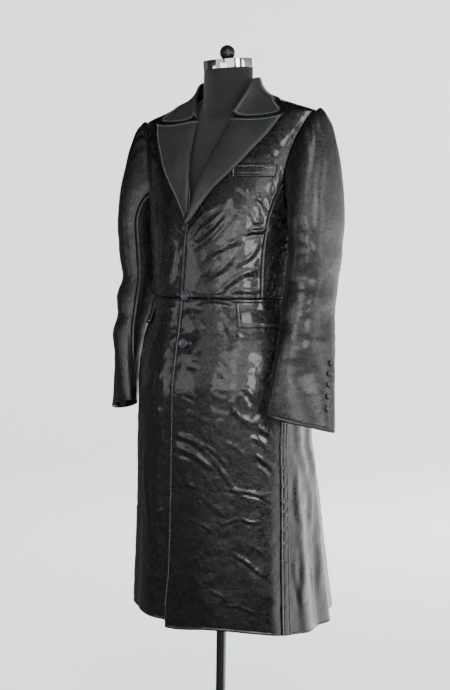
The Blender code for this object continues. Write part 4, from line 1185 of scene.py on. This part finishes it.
class COAT_OT_skirt(bpy.types.Operator):
    """Skirt panels and the lapped strip over each side seam"""

    bl_idname = "coat.skirt"
    bl_label = "Skirt"

    def execute(self, context):
        coat = context.scene.frock_coat
        step = coat.mesh_step
        for side, word in SIDES:
            for name, first, last, us, drop, edge, waves, scale in (
                ("skirt_front_", front_edge, skirt_edge(STRIP_SEAM - SEAM_ANGLE), stations(0.27, step * 0.75),
                 0.0033, "free", 0.0011, SKIRT_FRONT_SCALE),
                ("skirt_back_", skirt_edge(STRIP_SEAM + SEAM_ANGLE), lambda height: CENTRE_BACK,
                 stations(0.42, step * 1.2), 0.0045, "seam", 0.0013, SKIRT_BACK_SCALE),
            ):
                count = round(0.1 / drop)
                shares = [k / count for k in range(1, count - 4)]
                shares += [1 - near / 0.1 for near in reversed((0.0,) + NEAR_EDGE)]
                grid = hanging_grid(first, last, us, side, SKIRT_TOP, PANEL_LEVEL, drop, shares)
                rows, charts = chart_rows(grid, side)
                made = leather(name + word, rows, INSIDE_SKIRT, (edge, "seam", "seam", "free"), waves, coat,
                               SKIRT_CREASES, charts, scale)
                if edge == "free":
                    topstitch(made, (0,), "stitches_skirt_" + word)
            self.strip(side, word, coat)
        return {"FINISHED"}

    def strip(self, side, word, coat):
        us = [0, 0.06, 0.12, 0.2, 0.25, 0.31, 0.38, 0.5, 0.62, 0.69, 0.75, 0.8, 0.88, 0.94, 1]
        shares = [k / 32 for k in range(1, 33)]
        first, last = skirt_edge(0), skirt_edge(STRIP_SPREAD)
        grid = hanging_grid(first, last, us, side, STRIP_TOP, STRIP_LEVEL, 0.0034, shares)
        rows, charts = chart_rows(grid, side, lambda u, v: LIE + STRIP_WALL)
        normals = normals_of(rows, INSIDE_SKIRT)
        for j, line in enumerate(grid):
            for i, (u, v, angle, height) in enumerate(line):
                lift = 0.0
                for middle, half, depth in STRIP_PUCKERS:
                    away = (height - middle + 0.006 * (u - 0.5)) / half
                    if abs(away) < 4:
                        lift += depth * (bell(away) - 0.5 * bell(away - 1.8))
                rows[j][i] += normals[j][i] * lift * math.sin(math.pi * u) * coat.crease_depth
        made = leather("side_strip_" + word, rows, INSIDE_SKIRT, ALL_FREE, 0.0004, coat)
        topstitch(made, (0, 1), "stitches_strip_" + word)


class COAT_OT_lapels(bpy.types.Operator):
    """Peaked lapels, rolled over at the fronts' inner edges"""

    bl_idname = "coat.lapels"
    bl_label = "Lapels"

    roll_radius: FloatProperty(
        name="Roll", description="Radius of the roll at the inner edge", default=0.0022, unit="LENGTH"
    )

    def execute(self, context):
        us, vs = stations(0.11, 0.0045), stations(0.26, 0.0040)
        # The right lapel starts higher, where the left front no longer covers its roll
        for (side, word), start in zip(SIDES, (0.0, 0.135)):
            grid = [[(u, v, *lapel_spot(u, mix(start, 1.0, v))) for u in us] for v in vs]
            rows = chart_rows(grid, side, lambda u, v: read(LAPEL_ROLL, u)[0])[0]
            for row, normals in zip(rows, normals_of(rows, INSIDE_CHEST)):
                first, away = row[0], (row[0] - row[1]).normalized() * self.roll_radius
                # Six rows turned under along the roll, 26 degrees apart
                under = []
                for turn in range(156, 0, -26):
                    sine, cosine = direction(turn)
                    under.append(first + away * sine - normals[0] * self.roll_radius * (1 - cosine))
                row[:0] = under
            made = leather("lapel_" + word, rows, INSIDE_CHEST, ("none", "free", "none", "free"), 0.0006,
                           context.scene.frock_coat, cloth="lapel_leather")
            topstitch(made, (1, 3), "stitches_lapel_" + word)
        return {"FINISHED"}


class COAT_OT_collar(bpy.types.Operator):
    """Collar: its stand, its fold and its leaf"""

    bl_idname = "coat.collar"
    bl_label = "Collar"

    def execute(self, context):
        leaf = stations(0.06, 0.004)
        places = [2 * share for share in stations(0.30, 0.0042) if share <= 0.5]
        rows = []
        for side, shares in ((-1, places), (1, [place for place in reversed(places) if place < 1.0])):
            for place in shares:
                section = collar_section(place, 10, leaf)
                rows.append([Vector((x * side, y, z)) for x, y, z in section])
        middle = rows[len(rows) // 2][len(rows[0]) // 2]
        made = leather("collar", rows, Vector((0, 0.02, middle[2] - 0.01)), ("none", "free", "free", "free"),
                       0.0006, context.scene.frock_coat, cloth="lapel_leather")
        topstitch(made, (1, 2, 3), "stitches_collar")
        return {"FINISHED"}


class COAT_OT_sleeves(bpy.types.Operator):
    """Top sleeves with their gathered heads, and under sleeves"""

    bl_idname = "coat.sleeves"
    bl_label = "Sleeves"

    def execute(self, context):
        places = [-1.0, 0.0, 0.01, 0.02, 0.035, 0.05, 0.07, 0.09, 0.11, 0.13, 0.15, 0.175, 0.2, 0.23, 0.26]
        places += [0.30 + 0.035 * k for k in range(20)]
        places += [1.0 + share for share in stations(0.405, 0.0046) if share > 0.02]
        # Half the seam between the two cuts, in degrees round the arm
        gap = 0.2
        cuts = (
            ("top_sleeve_", HINDARM_SEAM - 360 + gap, FOREARM_SEAM - gap, stations(0.29, 0.0036)),
            ("under_sleeve_", FOREARM_SEAM + gap, HINDARM_SEAM - gap, stations(0.16, 0.0046)),
        )
        for side, word in SIDES:
            for name, first, last, shares in cuts:
                turns = [mix(first, last, share) for share in shares]
                rows, charts = [], []
                for place in places:
                    height = HEAD + (1 - abs(place)) * 0.17 if place <= 1 else mix(HEAD, CUFF, place - 1)
                    points = [sleeve_point(turn, place, side) for turn in turns]
                    rows.append([Vector((x * side, y, z)) for x, y, z in points])
                    charts.append([(turn, height) for turn in turns])
                inside = Vector((SLEEVE[4][1] * side, SLEEVE[4][2], rows[len(rows) // 2][0][2]))
                leather(name + word, rows, inside, ("seam", "seam", "seam", "free"), 0.0007,
                        context.scene.frock_coat, SLEEVE_CREASES, charts, SLEEVE_SCALE,
                        hide="sleeve")
        return {"FINISHED"}


class COAT_OT_pockets(bpy.types.Operator):
    """Breast welt, hip jets and hip flaps"""

    bl_idname = "coat.pockets"
    bl_label = "Pockets"

    def execute(self, context):
        coat = context.scene.frock_coat
        us, grid = stations(0.115, 0.004), []
        for v in stations(0.027, 0.003):
            start, end = mix(*WELT_START[::-1], v), mix(*WELT_END[::-1], v)
            grid.append([(u, v, mix(start, end, u), mix(*WELT_HEIGHTS, v)) for u in us])
        rows = chart_rows(grid, 1, lambda u, v: LIE + WALL)[0]
        made = leather("breast_welt", rows, Vector((0, 0, 1.3)), ALL_FREE, 0.0004, coat)
        topstitch(made, (1, 0), "stitches_welt")
        us = stations(0.155, 0.004)
        for side, word in SIDES:
            grid = plain_grid(us, (0.0, 0.12, 0.3, 0.5, 0.7, 0.88, 1.0), FLAP_ANGLES, (JET_TOP, JET_BOTTOM))
            rows = chart_rows(grid, side, lambda u, v: LIE + JET_WALL - 0.0005 * (2 * v - 1) ** 2)[0]
            leather("pocket_jet_" + word, rows, Vector((0, 0, 1.04)), ("none",) * 4, 0.0003, coat)
            grid = plain_grid(us, stations(0.051, 0.004), FLAP_ANGLES, (FLAP_TOP, FLAP_BOTTOM))
            rows = chart_rows(grid, side, lambda u, v: LIE + WALL + FLAP_FLARE * v * v * (1 - 0.5 * u))[0]
            made = leather("flap_" + word, rows, Vector((0, 0, 1.02)), ("free", "free", "none", "free"),
                           0.0006, coat)
            topstitch(made, (0, 1, 3), "stitches_flap_" + word)
        return {"FINISHED"}


def button_mesh(radius, depth, sides):
    """A sewn-through button with a raised rim, a dished middle, and four holes."""
    profile = [(radius * share, depth * height) for share, height in BUTTON_PROFILE]
    blank = lathe("button_blank", profile, sides, horn_material())
    bore = ((radius * 0.095, depth * 2), (radius * 0.095, -depth))
    for k in range(4):
        sine, cosine = direction(45 + 90 * k)
        place = Matrix.Translation((radius * 0.24 * cosine, radius * 0.24 * sine, 0))
        cut = blank.modifiers.new("hole", "BOOLEAN")
        cut.operation, cut.solver = "DIFFERENCE", "EXACT"
        cut.object = lathe("drill", bore, 10, horn_material(), place)
    graph = bpy.context.evaluated_depsgraph_get()
    mesh = bpy.data.meshes.new_from_object(blank.evaluated_get(graph))
    for obj in [o for o in bpy.data.objects if o.name.startswith(("button_blank", "drill"))]:
        bpy.data.objects.remove(obj, do_unlink=True)
    mesh.shade_smooth()
    mesh.set_sharp_from_angle(angle=math.radians(CORNER))
    return mesh


def sewing(radius, depth):
    """The thread through a button's holes: two bars across its middle."""
    mesh = bmesh.new()
    for k in (-1, 1):
        bar = bmesh.ops.create_cube(mesh, size=1.0)["verts"]
        bmesh.ops.scale(mesh, verts=bar, vec=(radius * 0.36, radius * 0.13, depth * 0.16))
        bmesh.ops.translate(mesh, verts=bar, vec=(0, k * radius * 0.17, depth * 0.64))
    bmesh.ops.bevel(mesh, geom=mesh.edges[:], offset=depth * 0.05, segments=2, affect="EDGES", profile=0.5)
    return finished(mesh, "sewing")


def buttonhole(name, x, height):
    """A worked buttonhole: a dark slit with a raised cord of stitches round it."""
    angle = angle_of(x, height)
    centre, normal = body(angle, height, 0.0006), body_normal(angle, height)
    across = (body(angle + 1, height) - body(angle - 1, height)).normalized()
    up = normal.cross(across)
    mesh = bmesh.new()
    rings, sides, bars = [], 6, 56
    for k in range(bars):
        turn = 2 * math.pi * k / bars
        reach = math.copysign(abs(math.cos(turn)) ** 0.6, math.cos(turn))
        middle = centre + across * HOLE_HALF * reach + up * 0.0016 * math.sin(turn)
        out = (across * math.cos(turn) * 0.3 + up * math.sin(turn)).normalized()
        size = 0.00085 * (1.0 + 0.16 * (-1) ** k)
        turns = [2 * math.pi * i / sides for i in range(sides)]
        rings.append([
            mesh.verts.new(middle + out * size * math.cos(t) + normal * size * math.sin(t)) for t in turns
        ])
    bridge(mesh, rings + rings[:1])
    bmesh.ops.recalc_face_normals(mesh, faces=mesh.faces[:])
    join(add_object(name, finished(mesh, name), twist_material()), None)


class COAT_OT_buttons(bpy.types.Operator):
    """Front and cuff buttons with their thread, and the buttonholes"""

    bl_idname = "coat.buttons"
    bl_label = "Buttons"

    def execute(self, context):
        front, thread = button_mesh(BUTTON_RADIUS, BUTTON_DEPTH, 48), sewing(BUTTON_RADIUS, BUTTON_DEPTH)
        for number, (x, height) in enumerate(BUTTONS, 1):
            spot = angle_of(x, height), height
            self.sew("front_button_%d" % number, front, thread, facing(body(*spot, LIE), body_normal(*spot)))
            buttonhole("buttonhole_%d" % number, x + HOLE_SHIFT, height)
        for number, (x, height) in enumerate(OPEN_HOLES, 3):
            buttonhole("buttonhole_%d" % number, x, height)
        cuff = button_mesh(CUFF_BUTTON_RADIUS, CUFF_BUTTON_DEPTH, 32)
        thread = sewing(CUFF_BUTTON_RADIUS, CUFF_BUTTON_DEPTH)
        for side, word in SIDES:
            for number, height in enumerate(CUFF_BUTTONS, 1):
                point, ahead, behind = (
                    sleeve_ring(CUFF_BUTTON_TURN + turn, height, side) for turn in (0, 8, -8)
                )
                up = sleeve_ring(CUFF_BUTTON_TURN, height + 0.01, side) - point
                normal = (behind - ahead).cross(up).normalized()
                middle = (ahead + behind) / 2
                place = middle + normal * (max((point - middle).dot(normal), 0.0) + SLEEVE_SEAT)
                place[0] *= side
                normal[0] *= side
                self.sew("cuff_button_%s_%d" % (word, number), cuff, thread, facing(place, normal))
        return {"FINISHED"}

    def sew(self, node, mesh, thread, place):
        for name, source, material, stands_for in (
            ("horn_", mesh, horn_material(), node), ("thread_", thread, twist_material(), None),
        ):
            placed = source.copy()
            placed.transform(place)
            join(add_object(name + node, placed, material), stands_for)


class COAT_OT_form(bpy.types.Operator):
    """Covered bust and neck of the dress form"""

    bl_idname = "coat.form"
    bl_label = "Dress Form"

    def execute(self, context):
        heights, sides = [], 96
        for lower, upper in zip(FORM, FORM[1:]):
            count = max(1, round((upper[0] - lower[0]) / 0.008))
            heights += [mix(lower[0], upper[0], k / count) for k in range(count)]
        heights += [mix(FORM[-1][0], NECK_TOP, k / 6) for k in range(7)]
        mesh = bmesh.new()
        rings = []
        for height in heights:
            tilt = NECK_TILT * ease((height - TILT_START) / (NECK_TOP - TILT_START))
            ring = []
            for k in range(sides):
                turn = 2 * math.pi * k / sides
                radius = form_radius(turn, height)
                x, y = radius * math.sin(turn), -radius * math.cos(turn)
                ring.append(mesh.verts.new((x, y, height + y * tilt)))
            rings.append(ring)
        bridge(mesh, rings)
        mesh.faces.new(rings[0])
        mesh.faces.new(rings[-1])
        bmesh.ops.recalc_face_normals(mesh, faces=mesh.faces[:])
        data = finished(mesh, "covered_bust", 50)
        join(add_object("covered_bust", data, jersey_material()), "form_bust")
        return {"FINISHED"}


class COAT_OT_stand(bpy.types.Operator):
    """Neck ring, knob, pole and foot"""

    bl_idname = "coat.stand"
    bl_label = "Stand"

    def execute(self, context):
        tilt = facing(Vector((0, 0, NECK_TOP + SEAM)), Vector((0, -NECK_TILT, 1)).normalized())
        chrome = metal_material("polished_chrome_plate", "#d9dadc", 0.05, 0.04, 14.0)
        rim = [(CAP_RADIUS * 0.90, CAP_HEIGHT)]
        rim += arc(CAP_EDGE, CAP_RADIUS - CAP_EDGE, CAP_HEIGHT - CAP_EDGE, 0.0, math.pi / 2, 6)
        rim += [(CAP_RADIUS, CAP_EDGE), (CAP_RADIUS - CAP_EDGE, 0.0)]
        lathe("chrome_cap", rim, 96, chrome, tilt, "chrome", "neck_cap")
        sine, cosine = direction(52)
        out = Vector((sine, -cosine, 0))
        spot = tilt @ (out * CAP_RADIUS + Vector((0, 0, CAP_HEIGHT * 0.52)))
        rivet = ((0.0, 0.0009), (0.0012, 0.0008), (0.0019, 0.0004), (0.0021, -0.0003))
        lathe("cap_rivet", rivet, 20, chrome, facing(spot, tilt.to_3x3() @ out), "chrome")
        knob = coated_material("moulded_abs", "#0d0d0e", "#17181a", 0.32, 900.0, 0.00005)
        seat = math.acos((CAP_HEIGHT + LIE - KNOB_CENTRE) / KNOB_RADIUS)
        ball = arc(KNOB_RADIUS, 0.0, KNOB_CENTRE, 0.0, seat, 28)
        lathe("knob_ball", ball, 48, knob, tilt, "knob_black", "knob")
        steel = metal_material("drawn_steel_tube", "#6c6e70", 0.30, 0.10, 0.05)
        tube = ((POLE_RADIUS, FORM[0][0] - SEAM), (POLE_RADIUS, FOOT_THICKNESS + SEAM))
        lathe("pole_tube", tube, 64, steel, None, "pole_steel", "pole")
        paint = coated_material("powder_coated_steel", "#1b1c1f", "#25262a", 0.46, 700.0, 0.0002)
        top, boss_top = FOOT_THICKNESS, FOOT_THICKNESS + BOSS_HEIGHT
        plate = [
            (SOCKET_RADIUS, top), (SOCKET_RADIUS, boss_top), (BOSS_RADIUS * 0.70, boss_top),
            (BOSS_RADIUS * 0.76, boss_top - 0.0006), (BOSS_RADIUS * 0.80, boss_top - 0.002),
            (BOSS_RADIUS, top + FOOT_EDGE), (BOSS_RADIUS + 0.0014, top + 0.001), (BOSS_RADIUS + 0.004, top),
        ]
        plate += arc(FOOT_EDGE, FOOT_RADIUS - FOOT_EDGE, top - FOOT_EDGE, 0.0, math.pi / 2, 6)
        plate += [(FOOT_RADIUS, FOOT_EDGE / 2), (FOOT_RADIUS - FOOT_EDGE / 2, 0.0)]
        lathe("foot_plate", plate, 96, paint, None, "foot_paint", "foot")
        return {"FINISHED"}


class COAT_OT_stage(bpy.types.Operator):
    """Paper sweep, soft lights and the camera"""

    bl_idname = "coat.stage"
    bl_label = "Stage"

    def execute(self, context):
        stage = context.scene.coat_stage
        self.sweep(stage)
        self.room()
        for row in PANELS:
            self.panel(stage, COAT_MIDDLE, *row)
        self.panel(stage, WALL_MIDDLE, *WALL_WASH)
        self.camera(stage)
        return {"FINISHED"}

    def sweep(self, stage):
        """Matt paper, evenly white: a floor that curves up into a wall. The leather doesn't mirror it."""
        paper, tree, position = new_material("matt_paper")
        fibre = field(tree, position, 300.0).outputs["Fac"]
        shade(paper, opaque(stage.paper_colour), 0.9, bumps(tree, fibre, 0.1, 0.0002))
        profile = [(radius, -SWEEP_DROP) for radius in (0.0, 1.0, SWEEP_FLAT)]
        profile += arc(SWEEP_CURVE, SWEEP_FLAT, SWEEP_CURVE - SWEEP_DROP, math.pi, math.pi / 2, 24, 1)
        profile.append((SWEEP_FLAT + SWEEP_CURVE, SWEEP_TOP))
        mesh = bmesh.new()
        bridge(mesh, circles(mesh, profile, SWEEP_SIDES))
        obj = add_object("paper_sweep", finished(mesh, "paper_sweep"), paper)
        obj.visible_glossy = False

    def room(self):
        """The back half of the room is bright, as a white wall is, and the half behind the camera is dim."""
        world = bpy.data.worlds.new("room")
        bpy.context.scene.world = world
        world.use_nodes = True
        tree = world.node_tree
        tree.nodes.clear()
        place = add(tree, "TexCoord").outputs["Generated"]
        wall = add(tree, "VectorMath", {0: place, 1: Vector((0.50, 0.86, 0))}, operation="DOT_PRODUCT")
        height = add(tree, "SeparateXYZ", {"Vector": place}).outputs["Z"]
        glow = maths(
            tree, "MULTIPLY", ramp(tree, wall.outputs["Value"], 0.40, 0.95, 0.03, 1.0, "SMOOTHSTEP"),
            ramp(tree, height, -0.22, 0.30, 2.8, 0.30, "SMOOTHSTEP"),
        )
        diffuse = add(tree, "LightPath").outputs["Is Diffuse Ray"]
        strength = add(tree, "Mix", {"Factor": diffuse, "A": glow, "B": 2.2}).outputs["Result"]
        back = add(tree, "Background", {"Color": opaque("#f4f6f8"), "Strength": strength})
        add(tree, "OutputWorld", {"Surface": back.outputs[0]})

    def panel(self, stage, aim, name, azimuth, distance, height, width, tall, share):
        """A soft rectangular light that faces a point."""
        data = bpy.data.lights.new(name, "AREA")
        data.shape, data.size, data.size_y = "RECTANGLE", width, tall
        data.energy = stage.key_power * share
        data.color = linear("#fbfcff")
        obj = bpy.data.objects.new(name, data)
        bpy.context.scene.collection.objects.link(obj)
        sine, cosine = direction(azimuth)
        obj.location = (distance * sine, -distance * cosine, height)
        obj.rotation_euler = (obj.location - aim).to_track_quat("Z", "Y").to_euler()

    def camera(self, stage):
        """The camera stands round to the coat's left, a little above the waist, looking slightly down."""
        sine, cosine = direction(CAMERA_TURN)
        down, level = direction(CAMERA_PITCH)
        place = Vector((stage.camera_distance * sine, -stage.camera_distance * cosine, stage.camera_height))
        ahead, right = Vector((-sine * level, cosine * level, -down)), Vector((cosine, sine, 0))
        data = bpy.data.cameras.new("camera")
        data.sensor_fit, data.sensor_height, data.lens = "VERTICAL", 36.0, CAMERA_LENS
        obj = bpy.data.objects.new("camera", data)
        bpy.context.scene.collection.objects.link(obj)
        turned = Matrix((right, right.cross(ahead), -ahead)).transposed().to_4x4()
        rolled = Matrix.Rotation(math.radians(CAMERA_ROLL), 4, "Z")
        obj.matrix_world = Matrix.Translation(place) @ turned @ rolled
        bpy.context.scene.camera = obj


class COAT_PT_panel(bpy.types.Panel):
    """Lists the coat's settings and the operators that dress it"""

    bl_label = "Frock Coat"
    bl_idname = "COAT_PT_panel"
    bl_space_type = "VIEW_3D"
    bl_region_type = "UI"
    bl_category = "Coat"

    def draw(self, context):
        layout = self.layout
        for group in (context.scene.frock_coat, context.scene.coat_stage):
            for name in group.bl_rna.properties.keys():
                if name not in ("rna_type", "name"):
                    layout.prop(group, name)
        for step in STEPS:
            layout.operator(step.bl_idname)


STEPS = (
    COAT_OT_bodice, COAT_OT_skirt, COAT_OT_lapels, COAT_OT_collar, COAT_OT_sleeves, COAT_OT_pockets,
    COAT_OT_buttons, COAT_OT_form, COAT_OT_stand, COAT_OT_stage,
)
CLASSES = (FrockCoatSettings, CoatStageSettings, *STEPS, COAT_PT_panel)


def register():
    for cls in CLASSES:
        bpy.utils.register_class(cls)
    bpy.types.Scene.frock_coat = bpy.props.PointerProperty(type=FrockCoatSettings)
    bpy.types.Scene.coat_stage = bpy.props.PointerProperty(type=CoatStageSettings)


def unregister():
    del bpy.types.Scene.frock_coat
    del bpy.types.Scene.coat_stage
    for cls in reversed(CLASSES):
        bpy.utils.unregister_class(cls)


def main():
    register()
    for step in STEPS:
        group, name = step.bl_idname.split(".")
        getattr(getattr(bpy.ops, group), name)()


if __name__ == "__main__":
    main()
